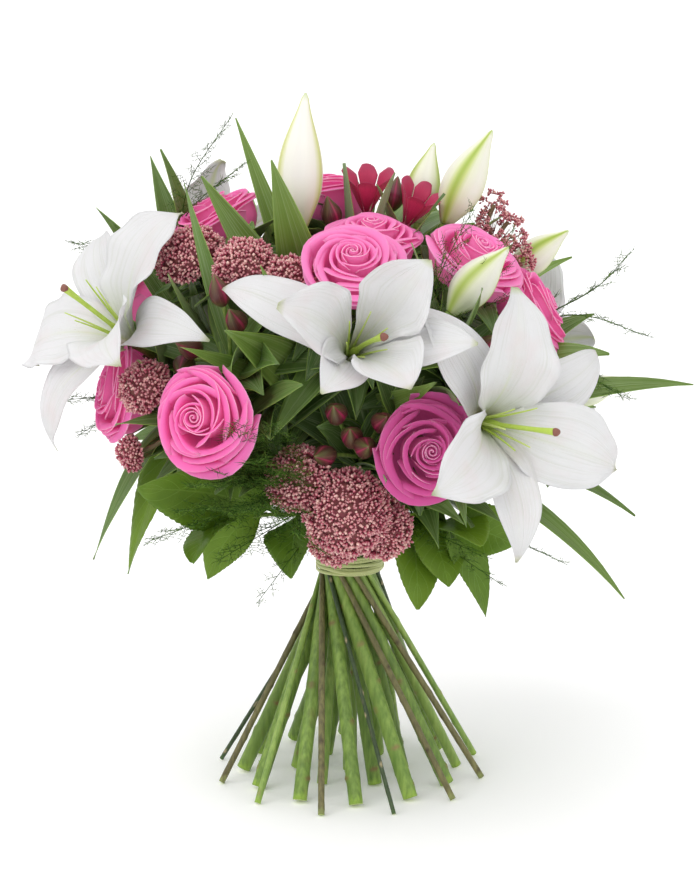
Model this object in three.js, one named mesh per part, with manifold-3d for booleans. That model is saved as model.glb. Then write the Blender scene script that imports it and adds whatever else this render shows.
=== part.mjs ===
// A hand-tied bouquet of white lilies, pink roses, rice flower, alstroemeria and foliage.
// Its stems cross in a spiral at a raffia tie, and the bouquet stands on their cut ends.
// Millimetres, +Z up, the front faces -Y. The origin is the middle of the centre stem's cut end.

import * as THREE from "three";
import Module from "manifold-3d";

const wasm = await Module();
wasm.setup();

// The spiral: every stem is a straight line through its place at the tie, up to where it bends.
const TIE_HEIGHT = 165;
const SPIRAL = -0.0292; // sideways run per mm of height, for each mm of a stem's radius at the tie
const BEND_HEIGHT = 182; // above this a stem curves to its own bloom
const RING_RADIUS = [0, 8.1, 16.7, 20.7];
const RING_SLOTS = [1, 6, 12, 12];
const RING_TURN = [0, -20, 15, 0]; // degrees to the first slot of each ring

const CLEARANCE = 0.35; // gap left round every neighbour
const FINENESS = 0.15; // joins are simplified by less than this
const BLADE = 0.8; // thickness of leaves and petals
const TEETH = 2; // along each side of a broad leaf

// Stem diameters
const LILY_STEM = 7.8;
const ROSE_STEM = 7.4;
const ALSTROEMERIA_STEM = 6;
const RICE_STEM = 3.6;
const BROADLEAF_STEM = 3.6;
const FERN_STEM = 3.2;

// Blooms
const ROSE_RADIUS = 30;
const LILY_TEPAL = 112;
const LILY_STYLE = 84;
const LILY_FILAMENT = 62;

const HEART = [0, -10, 300]; // the middle of the head. Leaves turn their upper sides away from it

const v3 = (x, y, z) => new THREE.Vector3(x, y, z);
const degrees = THREE.MathUtils.degToRad;

// A unit vector from its azimuth (0 along +X, 90 along +Y) and elevation, in degrees.
function facing([azimuth, elevation]) {
  const a = degrees(azimuth);
  const e = degrees(elevation);
  return v3(Math.cos(a) * Math.cos(e), Math.sin(a) * Math.cos(e), Math.sin(e));
}

// Three axes with z along the given direction, turned about it by roll degrees.
function axesAlong(direction, roll = 0) {
  const z = direction.clone().normalize();
  const guide = Math.abs(z.z) < 0.94 ? v3(0, 0, 1) : v3(0, -1, 0);
  const side = guide.clone().cross(z).normalize();
  const front = z.clone().cross(side);
  const r = degrees(roll);
  const x = side.clone().multiplyScalar(Math.cos(r)).addScaledVector(front, Math.sin(r));
  return { x, y: z.clone().cross(x), z };
}

const inAxes = (origin, axes, x, y, z) =>
  origin.clone().addScaledVector(axes.x, x).addScaledVector(axes.y, y).addScaledVector(axes.z, z);

// Closed solids

function solidFrom(points, triangles) {
  const vertProperties = new Float32Array(points.flatMap((p) => [p.x, p.y, p.z]));
  const made = new wasm.Manifold(
    new wasm.Mesh({ numProp: 3, vertProperties, triVerts: new Uint32Array(triangles.flat()) }),
  );
  if (made.volume() > 0) return made;
  const turned = triangles.map(([a, b, c]) => [a, c, b]);
  return new wasm.Manifold(
    new wasm.Mesh({ numProp: 3, vertProperties, triVerts: new Uint32Array(turned.flat()) }),
  );
}

function fromGeometry(geometry) {
  const position = geometry.getAttribute("position");
  const keys = new Map();
  const points = [];
  const index = [];
  for (let i = 0; i < position.count; i++) {
    const p = v3(position.getX(i), position.getY(i), position.getZ(i));
    const key = [p.x, p.y, p.z].map((c) => Math.round(c * 1000)).join();
    if (!keys.has(key)) {
      keys.set(key, points.length);
      points.push(p);
    }
    index.push(keys.get(key));
  }
  const order = geometry.index ? [...geometry.index.array] : index.map((_, i) => i);
  const triangles = [];
  for (let i = 0; i < order.length; i += 3) {
    const t = [index[order[i]], index[order[i + 1]], index[order[i + 2]]];
    if (new Set(t).size === 3) triangles.push(t);
  }
  return solidFrom(points, triangles);
}

// A tube through points with a radius at each, closed at both ends.
function tube(points, radii, sides) {
  const rings = [];
  const triangles = [];
  let side = axesAlong(points[1].clone().sub(points[0])).x;
  points.forEach((p, i) => {
    const before = points[Math.max(i - 1, 0)];
    const after = points[Math.min(i + 1, points.length - 1)];
    const along = after.clone().sub(before).normalize();
    side = side.clone().addScaledVector(along, -side.dot(along)).normalize();
    const other = along.clone().cross(side);
    for (let k = 0; k < sides; k++) {
      const a = (2 * Math.PI * k) / sides;
      rings.push(
        p
          .clone()
          .addScaledVector(side, radii[i] * Math.cos(a))
          .addScaledVector(other, radii[i] * Math.sin(a)),
      );
    }
  });
  const last = (points.length - 1) * sides;
  for (let i = 0; i < points.length - 1; i++)
    for (let k = 0; k < sides; k++) {
      const a = i * sides + k;
      const b = i * sides + ((k + 1) % sides);
      triangles.push([a, b, b + sides], [a, b + sides, a + sides]);
    }
  for (let k = 1; k < sides - 1; k++) {
    triangles.push([0, k + 1, k], [last, last + k, last + k + 1]);
  }
  return solidFrom(rings, triangles);
}

// A thin blade over surface(u, v), with u across from -1 to 1 and v along from 0 to 1.
// Both faces are split into the same triangles.
function blade(surface, across, along, grow = 0, thickness = BLADE) {
  const faces = [[], []];
  const step = 0.02;
  for (let i = 0; i <= along; i++)
    for (let j = 0; j <= across; j++) {
      const u = -1 + (2 * j) / across;
      const v = i / along;
      const du = surface(Math.min(u + step, 1), v).sub(surface(Math.max(u - step, -1), v));
      const dv = surface(u, Math.min(v + step, 1)).sub(surface(u, Math.max(v - step, 0)));
      const normal = du.clone().cross(dv).normalize();
      const p = surface(u, v);
      if (j === 0 || j === across) p.addScaledVector(du.normalize(), j ? grow : -grow);
      if (i === 0 || i === along) p.addScaledVector(dv.normalize(), i ? grow : -grow);
      const half = thickness / 2 + grow;
      faces[0].push(p.clone().addScaledVector(normal, half));
      faces[1].push(p.clone().addScaledVector(normal, -half));
    }
  const columns = across + 1;
  const under = faces[0].length;
  const triangles = [];
  const wall = (a, b) => triangles.push([a, a + under, b + under], [a, b + under, b]);
  for (let i = 0; i < along; i++)
    for (let j = 0; j < across; j++) {
      const a = i * columns + j;
      const b = a + 1;
      const c = b + columns;
      const d = a + columns;
      triangles.push([a, b, c], [a, c, d]);
      triangles.push([a + under, c + under, b + under], [a + under, d + under, c + under]);
    }
  for (let j = 0; j < across; j++) {
    wall(j, j + 1);
    wall(along * columns + j + 1, along * columns + j);
  }
  for (let i = 0; i < along; i++) {
    wall((i + 1) * columns, i * columns);
    wall(i * columns + across, (i + 1) * columns + across);
  }
  return solidFrom([...faces[0], ...faces[1]], triangles);
}

const joined = (solids) => wasm.Manifold.union(solids);

// The body that holds the most material. Loose scraps are dropped.
function largest(solid) {
  const bodies = solid.decompose();
  return bodies.reduce((best, b) => (b.volume() > best.volume() ? b : best), bodies[0]);
}

// Stem routes

function tieSpot([ring, slot]) {
  const a = degrees(RING_TURN[ring] + (360 * slot) / RING_SLOTS[ring]);
  return v3(RING_RADIUS[ring] * Math.cos(a), RING_RADIUS[ring] * Math.sin(a), TIE_HEIGHT);
}

// Where the straight part of a stem crosses a height.
function onSpiral(slot, height) {
  const q = tieSpot(slot);
  const run = SPIRAL * (height - TIE_HEIGHT);
  return v3(q.x - run * q.y, q.y + run * q.x, height);
}

// The curved part of a stem, from the bend above the tie to its neck, arriving along its face.
function upperCurve(slot, neck, face) {
  const start = onSpiral(slot, BEND_HEIGHT);
  const lead = start.clone().sub(onSpiral(slot, BEND_HEIGHT - 10)).normalize();
  const reach = neck.distanceTo(start);
  return new THREE.CubicBezierCurve3(
    start,
    start.clone().addScaledVector(lead, reach * 0.36),
    neck.clone().addScaledVector(face, -reach * 0.36),
    neck,
  );
}

// A whole stem. Its cut end is square to it, with the lowest edge on the table. crown lists the
// heights past the neck, along the face, and the radii there.
function stemTube(slot, curve, diameter, grow, { taper = 0.8, sides = 5, steps = 5, crown = [] } = {}) {
  const radius = diameter / 2;
  const q = tieSpot(slot);
  const slope = Math.atan(Math.abs(SPIRAL) * Math.hypot(q.x, q.y));
  const start = onSpiral(slot, radius * Math.sin(slope));
  const neck = curve.getPoint(1);
  const face = curve.getTangent(1);
  const reach = crown.length ? 0.92 : 1;
  const points = [start];
  for (let i = 0; i <= steps; i++) points.push(curve.getPoint((reach * i) / steps));
  const radii = points.map((_, i) => radius * (i < 2 ? 1 : 1 - ((1 - taper) * (i - 1)) / steps));
  for (const [height, r] of crown) {
    points.push(neck.clone().addScaledVector(face, height));
    radii.push(r);
  }
  return tube(points, radii.map((r) => r + grow), sides);
}

// Leaves

// Half width of a leaf along its length, as a share of its widest.
function outline(v, shape) {
  const s = Math.min(Math.max(v, 0), 1);
  if (shape === "broad") {
    const body = Math.max(s - 0.1, 0) / 0.9;
    const tooth = Math.round(s * 2 * TEETH) % 2 ? 1.06 : 0.9;
    return Math.max(0.05, tooth * Math.sin(Math.PI * body ** 0.85) ** 0.72);
  }
  return Math.max(0.07, Math.sin(Math.PI * (0.04 + 0.96 * s) ** 0.72) ** 0.95);
}

// A leaf from its base to its tip. rise lifts its middle. Its upper side looks outward, forward
// and up, and roll turns it from there about its rib.
function leafSurface(base, { tip, width, rise = 0, roll = 0, shape = "lance" }) {
  const middle = base.clone().add(tip).multiplyScalar(0.5).add(v3(0, 0, 2 * rise));
  const rib = new THREE.QuadraticBezierCurve3(base, middle, tip);
  const fold = shape === "broad" ? 0.2 : 0.32;
  const outward = middle.clone().sub(v3(...HEART)).normalize();
  const look = outward.multiplyScalar(0.75).add(v3(0, -0.25, 0.5));
  const side = look.cross(tip.clone().sub(base)).normalize();
  const turn = degrees(roll);
  return (u, v) => {
    const s = Math.min(Math.max(v, 0), 1);
    const p = rib.getPoint(s);
    const along = rib.getTangent(s);
    p.addScaledVector(along, (v - s) * base.distanceTo(tip));
    const front = along.clone().cross(side).normalize();
    const flat = front.clone().cross(along);
    const x = flat.multiplyScalar(Math.cos(turn)).addScaledVector(front, Math.sin(turn));
    const y = along.clone().cross(x);
    const half = (width / 2) * outline(v, shape);
    return p.addScaledVector(x, u * half).addScaledVector(y, fold * half * (Math.abs(u) - 0.5));
  };
}

function leafBlade(base, leaf, grow) {
  const broad = leaf.shape === "broad";
  return blade(leafSurface(base, leaf), 2, broad ? 2 * TEETH : leaf.width > 19 ? 3 : 2, grow);
}

// Petals

// A smooth line through [distance from the axis, height] pairs, scaled.
function petalLine(pairs, scale) {
  const curve = new THREE.SplineCurve(pairs.map(([r, z]) => new THREE.Vector2(r * scale, z * scale)));
  return (v) => curve.getPoint(v);
}

// A value along a petal from its base, middle and rim values.
const along3 = ([base, middle, rim], v) =>
  v < 0.5 ? base + (middle - base) * v * 2 : middle + (rim - middle) * (v * 2 - 1);

// Rose whorls, from the heart out. Lines are in shares of the rose's radius, half widths in
// radians round the axis.
const ROSE_WHORLS = [
  { petals: 3, turn: 0, line: [[0.07, 0.3], [0.43, 0.78], [0.3, 1.34]], half: [0.4, 1.14, 0.9] },
  { petals: 4, turn: Math.PI / 4, line: [[0.08, 0.02], [0.76, 0.6], [1.04, 1.02]], half: [0.3, 0.9, 0.84] },
];

function rosePetalSurface(rose, axes, radius, whorl, index) {
  const line = petalLine(whorl.line, radius);
  const centre = whorl.turn + (2 * Math.PI * index) / whorl.petals;
  return (u, v) => {
    const point = line(v * (1 - 0.16 * u * u));
    const a = centre + u * along3(whorl.half, v);
    const out = point.x + 0.07 * radius * u * Math.min(1, 2 * v);
    return inAxes(rose.neck, axes, out * Math.cos(a), out * Math.sin(a), point.y);
  };
}

function rosePetals(rose, grow) {
  const axes = axesAlong(facing(rose.face));
  const radius = rose.radius ?? ROSE_RADIUS;
  const at = (z) => inAxes(rose.neck, axes, 0, 0, z * radius);
  const heart = tube(
    [at(0.01), at(0.3), at(1), at(1.2)],
    [0.2, 0.26, 0.2, 0.06].map((r) => r * radius + grow),
    4,
  );
  const petals = ROSE_WHORLS.flatMap((whorl) =>
    Array.from({ length: whorl.petals }, (_, i) =>
      blade(rosePetalSurface(rose, axes, radius, whorl, i), 2, 2, grow),
    ),
  );
  return joined([heart, ...petals]);
}

// The green cup under a rose, as heights past the neck and radii.
const ROSE_CUP = [
  [-7, 4.6],
  [0, 6],
];

// Lily tepals: three outer ones, narrow, and three inner ones, broad with waved edges.
const OUTER_TEPAL = { lean: 24, flare: 84, half: 18, widest: 1.1, ruffle: 0, root: 3.2 };
const INNER_TEPAL = { lean: 15, flare: 80, half: 27, widest: 1.3, ruffle: 4, root: 3 };

// The line of a tepal that leans out and then flares back, as distance from the axis and height.
function tepalLine({ lean, flare, root }, spread, length) {
  const steps = 24;
  const line = [[root, 1]];
  for (let i = 0; i < steps; i++) {
    const v = (i + 0.5) / steps;
    const angle = degrees(spread * (lean + flare * v ** 1.1));
    const [r, z] = line[i];
    line.push([r + (Math.sin(angle) * length) / steps, z + (Math.cos(angle) * length) / steps]);
  }
  return (v) => {
    const i = Math.min(Math.floor(v * steps), steps - 1);
    const f = v * steps - i;
    return [0, 1].map((k) => line[i][k] * (1 - f) + line[i + 1][k] * f);
  };
}

function tepalSurface(base, axes, index, spread, shift, length) {
  const kind = index % 2 ? INNER_TEPAL : OUTER_TEPAL;
  const line = tepalLine(kind, spread, length);
  const centre = (Math.PI * (index + 0.5)) / 3 + degrees(shift);
  return (u, v) => {
    const [r, z] = line(v);
    const half = kind.half * (0.1 + 0.9 * Math.sin(Math.PI * v ** kind.widest));
    const wave = kind.ruffle * Math.sin(3.2 * Math.PI * v) * u * Math.abs(u) * v;
    const cup = 0.18 * half * u * u;
    const a = centre + u * Math.min(half / r, 0.98);
    return inAxes(base, axes, r * Math.cos(a), r * Math.sin(a), z + cup + wave);
  };
}

// A lily: tepals on a short throat, with six filaments and a style that bows to one side.
function lilyBloom(bloom, grow) {
  const axes = axesAlong(facing(bloom.face), bloom.turn);
  const length = bloom.length ?? LILY_TEPAL;
  const at = (r, a, z) => inAxes(bloom.neck, axes, r * Math.cos(a), r * Math.sin(a), z);
  const throat = tube([at(0, 0, 0), at(0, 0, 12)], [5.4 + grow, 6.6 + grow], 6);
  const tepals = Array.from({ length: 6 }, (_, i) =>
    blade(tepalSurface(bloom.neck, axes, i, bloom.spread[i], bloom.shift?.[i] ?? 0, length), 2, 3, grow),
  );
  const turn = degrees(bloom.styleTurn ?? 0);
  const style = tube(
    [8, 45, LILY_STYLE, LILY_STYLE + 3].map((z) => at(9 * (z / LILY_STYLE) ** 2, turn, z)),
    [1.8, 1.5, 3, 2.6].map((r) => r + grow),
    4,
  );
  const filaments = Array.from({ length: 6 }, (_, i) => {
    const a = (Math.PI * i) / 3;
    return tube([at(3, a, 9), at(15, a, LILY_FILAMENT)], [1.1 + grow, 0.6 + grow], 3);
  });
  return joined([throat, ...tepals, style, ...filaments]);
}

// A closed bud from its base: heights as shares of its length, and radii as shares of its widest.
const BUD_OUTLINE = [
  [0.1, 0.62],
  [0.36, 1],
  [0.68, 0.78],
  [1, 0.1],
];

function budSolid({ base, tip, radius }, grow) {
  const rings = [[0, 0.3], ...BUD_OUTLINE];
  return tube(rings.map(([s]) => base.clone().lerp(tip, s)), rings.map(([, r]) => r * radius + grow), 6);
}

// A stalk from one point to another, arriving along its face, that may end in a bud.
function stalkTube(from, to, face, radius, grow, sides = 4, bud = null) {
  const reach = to.distanceTo(from);
  const middle = to.clone().addScaledVector(face, -reach * 0.45);
  const curve = new THREE.QuadraticBezierCurve3(from, middle, to);
  const points = curve.getPoints(2);
  const radii = [radius * 1.15, radius, radius];
  points.splice(2, 0, to.clone().addScaledVector(face, -2.5));
  radii.push(radius);
  if (bud)
    for (const [s, r] of BUD_OUTLINE) {
      points.push(to.clone().addScaledVector(face, s * bud.length));
      radii.push(r * bud.radius);
    }
  return tube(points, radii.map((r) => r + grow), sides);
}

// Rice flower: domes of tiny buds on short branches. The buds stand up from each dome's surface.
const RICE_RELIEF = 2.6;

function riceDome({ at: centre, radius, face }, grow) {
  const geometry = new THREE.IcosahedronGeometry(1, radius > 20 ? 2 : 1);
  const position = geometry.getAttribute("position");
  const axes = axesAlong(facing(face));
  for (let i = 0; i < position.count; i++) {
    const p = v3(position.getX(i), position.getY(i), position.getZ(i)).normalize();
    const key = Math.round(p.x * 97) + Math.round(p.y * 89) * 3 + Math.round(p.z * 83) * 7;
    const r = radius - (Math.abs(key) % 3 ? RICE_RELIEF : 0) + grow;
    const q = inAxes(centre, axes, p.x * r, p.y * r, p.z * r * (p.z < 0 ? 0.42 : 0.86));
    position.setXYZ(i, q.x, q.y, q.z);
  }
  return fromGeometry(geometry);
}

// The knob that a spray's stalks spring from, seated on the end of its stem.
function sprayKnob({ neck, face }, grow) {
  const at = (height) => neck.clone().addScaledVector(facing(face), height);
  return { root: at(3), solid: tube([at(0.7), at(5)], [2.4 + grow, 2.2 + grow], 5) };
}

function riceHeads(sprig, grow) {
  const { root, solid } = sprayKnob(sprig, grow);
  const branches = sprig.domes.map((dome) => stalkTube(root, dome.at, facing(dome.face), 1.7, grow));
  return joined([solid, ...sprig.domes.map((dome) => riceDome(dome, grow)), ...branches]);
}

// Alstroemeria: stalks from one point, each with a bud or a half-open flower of six tepals.
const FLORET_LINE = [[0.05, 0.1], [0.27, 0.55], [0.42, 1]];
const FLORET_LENGTH = 36;
const FLORET_BUD = { length: 25, radius: 6.8 };

function floretTepal(base, axes, index, open) {
  const line = petalLine(FLORET_LINE, FLORET_LENGTH);
  const centre = (Math.PI * (index + 0.5)) / 3;
  return (u, v) => {
    const point = line(v);
    const r = point.x * (0.55 + 0.45 * open) + (index % 2) * 1.2 * v;
    const a = centre + u * along3([0.25, 0.47, 0.3], v);
    return inAxes(base, axes, r * Math.cos(a), r * Math.sin(a), point.y);
  };
}

function openFloret({ at: base, face, open }, grow) {
  const axes = axesAlong(facing(face));
  const cup = tube([inAxes(base, axes, 0, 0, -1), inAxes(base, axes, 0, 0, 7)], [3 + grow, 4.4 + grow], 6);
  const tepals = [0, 1, 2, 3, 4, 5].map((i) => blade(floretTepal(base, axes, i, open), 1, 2, grow));
  return [cup, ...tepals];
}

function umbelSolid(stem, grow) {
  const { root, solid } = sprayKnob(stem, grow);
  const parts = stem.florets.flatMap((floret) => {
    const stalk = stalkTube(
      root,
      floret.at,
      facing(floret.face),
      1.4,
      grow,
      floret.open ? 3 : 5,
      floret.open ? null : FLORET_BUD,
    );
    return floret.open ? [stalk, ...openFloret(floret, grow)] : [stalk];
  });
  return joined([solid, ...parts]);
}

// Asparagus fern: a wiry axis with side branches in one plane, set with needles.
const FERN_BRANCHES = 5;
const FERN_NEEDLES = 2;

function fernBranches(curve, spread, grow) {
  const parts = [];
  for (let i = 0; i < FERN_BRANCHES; i++) {
    const share = 0.3 + (0.66 * i) / (FERN_BRANCHES - 1);
    const from = curve.getPoint(share);
    const along = curve.getTangent(share);
    const { x, y } = axesAlong(along);
    const side = i % 2 ? 1 : -1;
    const reach = spread * Math.sin(Math.PI * (0.2 + 0.72 * (share - 0.3)));
    const out = x.clone().multiplyScalar(side * 0.8).addScaledVector(along, 0.6).addScaledVector(y, 0.1);
    const end = from.clone().addScaledVector(out, reach);
    parts.push(tube([from, end], [0.8 + grow, 0.45 + grow], 3));
    for (let k = 1; k <= FERN_NEEDLES; k++) {
      const at = from.clone().lerp(end, k / (FERN_NEEDLES + 0.4));
      const flank = k % 2 ? 1 : -1;
      const tip = at
        .clone()
        .addScaledVector(along, 7 * flank * side + 3)
        .addScaledVector(out, 5)
        .addScaledVector(y, 3 * flank);
      parts.push(tube([at, tip], [0.7 + grow, 0.4 + grow], 3));
    }
  }
  return joined(parts);
}

// The raffia tie: flat strands wound one above another, with a knot at the back.
const TIE_INNER = 23.8;
const TIE_STRANDS = 3;
const STRAND_PITCH = 3.8;
const STRAND_DEPTH = 2;

function tieSolid(grow) {
  const profile = [];
  const low = TIE_HEIGHT - (TIE_STRANDS * STRAND_PITCH) / 2;
  for (let i = 0; i < TIE_STRANDS; i++) {
    const z = low + i * STRAND_PITCH;
    profile.push(new THREE.Vector2(TIE_INNER + STRAND_DEPTH * 0.55 + grow, z - (i ? 0 : grow)));
    profile.push(new THREE.Vector2(TIE_INNER + STRAND_DEPTH + grow, z + STRAND_PITCH * 0.5));
  }
  const top = low + TIE_STRANDS * STRAND_PITCH + grow;
  profile.push(new THREE.Vector2(TIE_INNER + STRAND_DEPTH * 0.55 + grow, top));
  profile.push(new THREE.Vector2(TIE_INNER - grow, top));
  profile.push(new THREE.Vector2(TIE_INNER - grow, low - grow));
  profile.push(profile[0].clone());
  const ring = new THREE.LatheGeometry(profile, 15);
  ring.rotateX(Math.PI / 2);
  const knotAt = (x, z) => v3(x, TIE_INNER + STRAND_DEPTH, TIE_HEIGHT + z);
  const knot = tube([knotAt(-5, -2), knotAt(0, 0), knotAt(5, 2)], [1.5, 3, 1.5].map((r) => r + grow), 6);
  const tails = [-1, 1].map((side) =>
    tube(
      [knotAt(side * 2, 0), knotAt(side * 9, -12).add(v3(0, 6, 0)), knotAt(side * 12, -30).add(v3(0, 14, 0))],
      [1.1 + grow, 1 + grow, 0.8 + grow],
      4,
    ),
  );
  return joined([fromGeometry(ring), knot, ...tails]);
}

// The stems, by kind. A slot is a ring and a place in it at the tie. neck is where the bloom
// or the umbel sits, and face is the way it looks, as azimuth and elevation.

const leaf = (along, x, y, z, width, rise = 0, roll = 0, shape = "lance") => ({
  along,
  tip: v3(x, y, z),
  width,
  rise,
  roll,
  shape,
});
const broad = (along, x, y, z, width, rise = 0, roll = 0) =>
  leaf(along, x, y, z, width, rise, roll, "broad");

// A rose is placed by the middle of its top, which lies ROSE_RISE above its neck.
const ROSE_RISE = 1.25;
function rose(name, slot, [x, y, z], face, leaves = [], more = {}) {
  const radius = more.radius ?? ROSE_RADIUS;
  const neck = v3(x, y, z).addScaledVector(facing(face), -ROSE_RISE * radius);
  return { name, slot, neck, face, leaves, radius };
}

const ROSES = [
  rose("rose_crown", [0, 0], [15, -64, 424], [-80, 76], []),
  rose("rose_front_top", [2, 0], [2, -124, 410], [-88, 50], [leaf(0.55, -58, -92, 258, 26, 6)]),
  rose("rose_right_top", [1, 1], [92, -72, 410], [-40, 56], []),
  rose("rose_back_top", [1, 4], [-24, 30, 446], [110, 76], [leaf(0.62, -66, 84, 410, 26, 6)]),
  rose("rose_right", [2, 3], [143, -38, 366], [-8, 30], [leaf(0.6, 176, 40, 322, 28, 8)]),
  rose("rose_left", [2, 10], [-104, -162, 304], [-114, 8], [], { radius: 32 }),
  rose("rose_far_left", [2, 8], [-176, -62, 306], [-162, 14], [
    leaf(0.6, -168, 34, 268, 26, 6),
    leaf(0.97, -186, -64, 182, 24, 14),
    broad(0.82, -162, -66, 172, 36, 14),
  ]),
  rose("rose_centre_right", [2, 1], [54, -166, 282], [-76, 4], [leaf(0.6, 96, -130, 226, 24, 0)]),
  rose("rose_left_top", [1, 5], [-104, -8, 432], [-172, 62], []),
  rose("rose_left_back", [2, 6], [-172, 52, 340], [164, 16], [
    leaf(0.6, -176, 84, 262, 28, 4),
    leaf(0.8, -147, 32, 462, 26, 0, 10),
  ]),
  rose("rose_back", [2, 5], [-20, 168, 322], [98, 14], [leaf(0.6, -66, 158, 250, 28, 4)]),
  rose("rose_back_right", [2, 4], [84, 118, 372], [52, 36], [leaf(0.6, 66, 168, 306, 28, 4)]),
];

// A lily whose six tepals are spread alike. styleTurn is the side that its style bows to.
const evenLily = (name, [x, y, z], face, turn, styleTurn) => ({
  name,
  neck: v3(x, y, z),
  face,
  turn,
  spread: [1, 1, 1, 1, 1, 1],
  styleTurn,
});

const LILIES = [
  {
    name: "lily_centre",
    slot: [1, 0],
    neck: v3(-14, -58, 322),
    face: [-95, 66],
    blooms: [
      {
        name: "lily_centre_bloom",
        neck: v3(-2, -129, 338),
        face: [-76, 24],
        turn: -43,
        spread: [0.57, 0.52, 1.4, 0.66, 0.5, 0.46],
        shift: [0, 0, 40, 0, 0, 0],
        styleTurn: -20,
      },
    ],
    buds: [{ name: "lily_centre_bud", base: v3(-35, -36, 416), tip: v3(-31, -34, 511), radius: 16 }],
    leaves: [
      leaf(0.8, -53, -108, 468, 36, 0, 0),
      leaf(0.7, -78, -168, 362, 42, 6, 0),
      leaf(0.62, -110, -156, 351, 24, 5, -10),
      leaf(0.85, 84, -172, 344, 26, -2, 0),
      leaf(0.9, -82, 4, 492, 20, 0, 10),
    ],
  },
  {
    name: "lily_left",
    slot: [2, 7],
    neck: v3(-96, -22, 300),
    face: [-170, 50],
    blooms: [
      {
        name: "lily_left_bloom",
        neck: v3(-150, -56, 336),
        face: [-135, 36],
        turn: -17,
        spread: [1.16, 1.2, 1.21, 1.6, 1.45, 0.96],
        shift: [-12, -3, -1, 6, -5, 16],
        styleTurn: 0,
      },
      evenLily("lily_left_back_bloom", [-96, 98, 350], [132, 34], 0, 90),
    ],
    buds: [],
    leaves: [
      leaf(0.7, -153, -108, 344, 28, 4, 10),
      leaf(0.8, -126, -104, 392, 26, 6, 0),
      leaf(0.6, -126, 124, 284, 28, 10, 0),
    ],
  },
  {
    name: "lily_right",
    slot: [2, 2],
    neck: v3(88, -46, 296),
    face: [-28, 50],
    blooms: [
      {
        name: "lily_right_bloom",
        neck: v3(85, -133, 296),
        face: [-62, 5],
        turn: -5,
        spread: [1.25, 1.2, 1.2, 0.92, 0.85, 1.2],
        shift: [0, 0, -22, 0, 0, 12],
        styleTurn: 0,
      },
    ],
    buds: [
      { name: "lily_right_bud", base: v3(68, -118, 368), tip: v3(107, -116, 412), radius: 14 },
      { base: v3(118, 14, 376), tip: v3(160, 16, 409), radius: 12.5 },
      { base: v3(160, -16, 288), tip: v3(202, -8, 304), radius: 10 },
    ],
    leaves: [
      leaf(0.8, 182, -66, 333, 28, 6, -10),
      leaf(0.72, 246, -42, 306, 22, 12, 0),
      leaf(0.6, 204, -72, 218, 30, 14, 0),
      leaf(0.5, 202, -42, 147, 26, 22, 0),
      leaf(0.85, 180, 6, 358, 24, 6, 0),
      leaf(0.66, 190, 62, 270, 26, 10, 0),
    ],
  },
  {
    name: "lily_back",
    slot: [1, 2],
    neck: v3(56, 34, 366),
    face: [20, 72],
    blooms: [evenLily("lily_back_bloom", [96, 84, 300], [38, 14], 20, 90)],
    buds: [
      { base: v3(49, 2, 416), tip: v3(61, 12, 473), radius: 12.5 },
      { base: v3(68, -22, 418), tip: v3(101, -18, 484), radius: 15 },
      { base: v3(48, 72, 398), tip: v3(66, 98, 452), radius: 12.5 },
    ],
    leaves: [
      leaf(0.9, 20, -50, 468, 20, 0, 0),
      leaf(0.8, 4, 62, 448, 26, 4, 0),
      leaf(0.7, 30, 132, 402, 28, 8, 0),
      leaf(0.6, 160, 96, 384, 26, 10, 0),
      leaf(0.66, 168, 74, 236, 28, 12, 0),
    ],
  },
];

const dome = (x, y, z, radius, azimuth, elevation) => ({
  at: v3(x, y, z),
  radius,
  face: [azimuth, elevation],
});
const RICE_FLOWERS = [
  {
    name: "rice_flower_top",
    slot: [3, 9],
    neck: v3(-72, -66, 362),
    face: [-135, 68],
    domes: [
      dome(-110, -62, 397, 25, -140, 62),
      dome(-72, -92, 395, 22, -115, 60),
      dome(-40, -104, 386, 20, -95, 56),
    ],
  },
  {
    name: "rice_flower_left",
    slot: [3, 8],
    neck: v3(-116, -84, 286),
    face: [-145, 34],
    domes: [dome(-140, -104, 314, 19, -135, 34), dome(-152, -86, 264, 12, -150, 0)],
  },
  {
    name: "rice_flower_front",
    slot: [3, 0],
    neck: v3(-2, -92, 226),
    face: [-95, 24],
    domes: [
      dome(-2, -132, 233, 28, -94, 16),
      dome(-34, -124, 254, 22, -112, 34),
      dome(25, -116, 213, 22, -70, -10),
      dome(-8, -108, 202, 21, -96, -24),
    ],
  },
  {
    name: "rice_flower_right",
    slot: [3, 4],
    neck: v3(96, 2, 384),
    face: [-8, 66],
    domes: [dome(106, -4, 424, 15, 10, 62), dome(122, -10, 404, 13, -8, 40)],
  },
  {
    name: "rice_flower_back",
    slot: [3, 6],
    neck: v3(-52, 116, 330),
    face: [118, 40],
    domes: [dome(-62, 148, 352, 24, 116, 30), dome(-34, 138, 372, 18, 100, 44)],
  },
];

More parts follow.
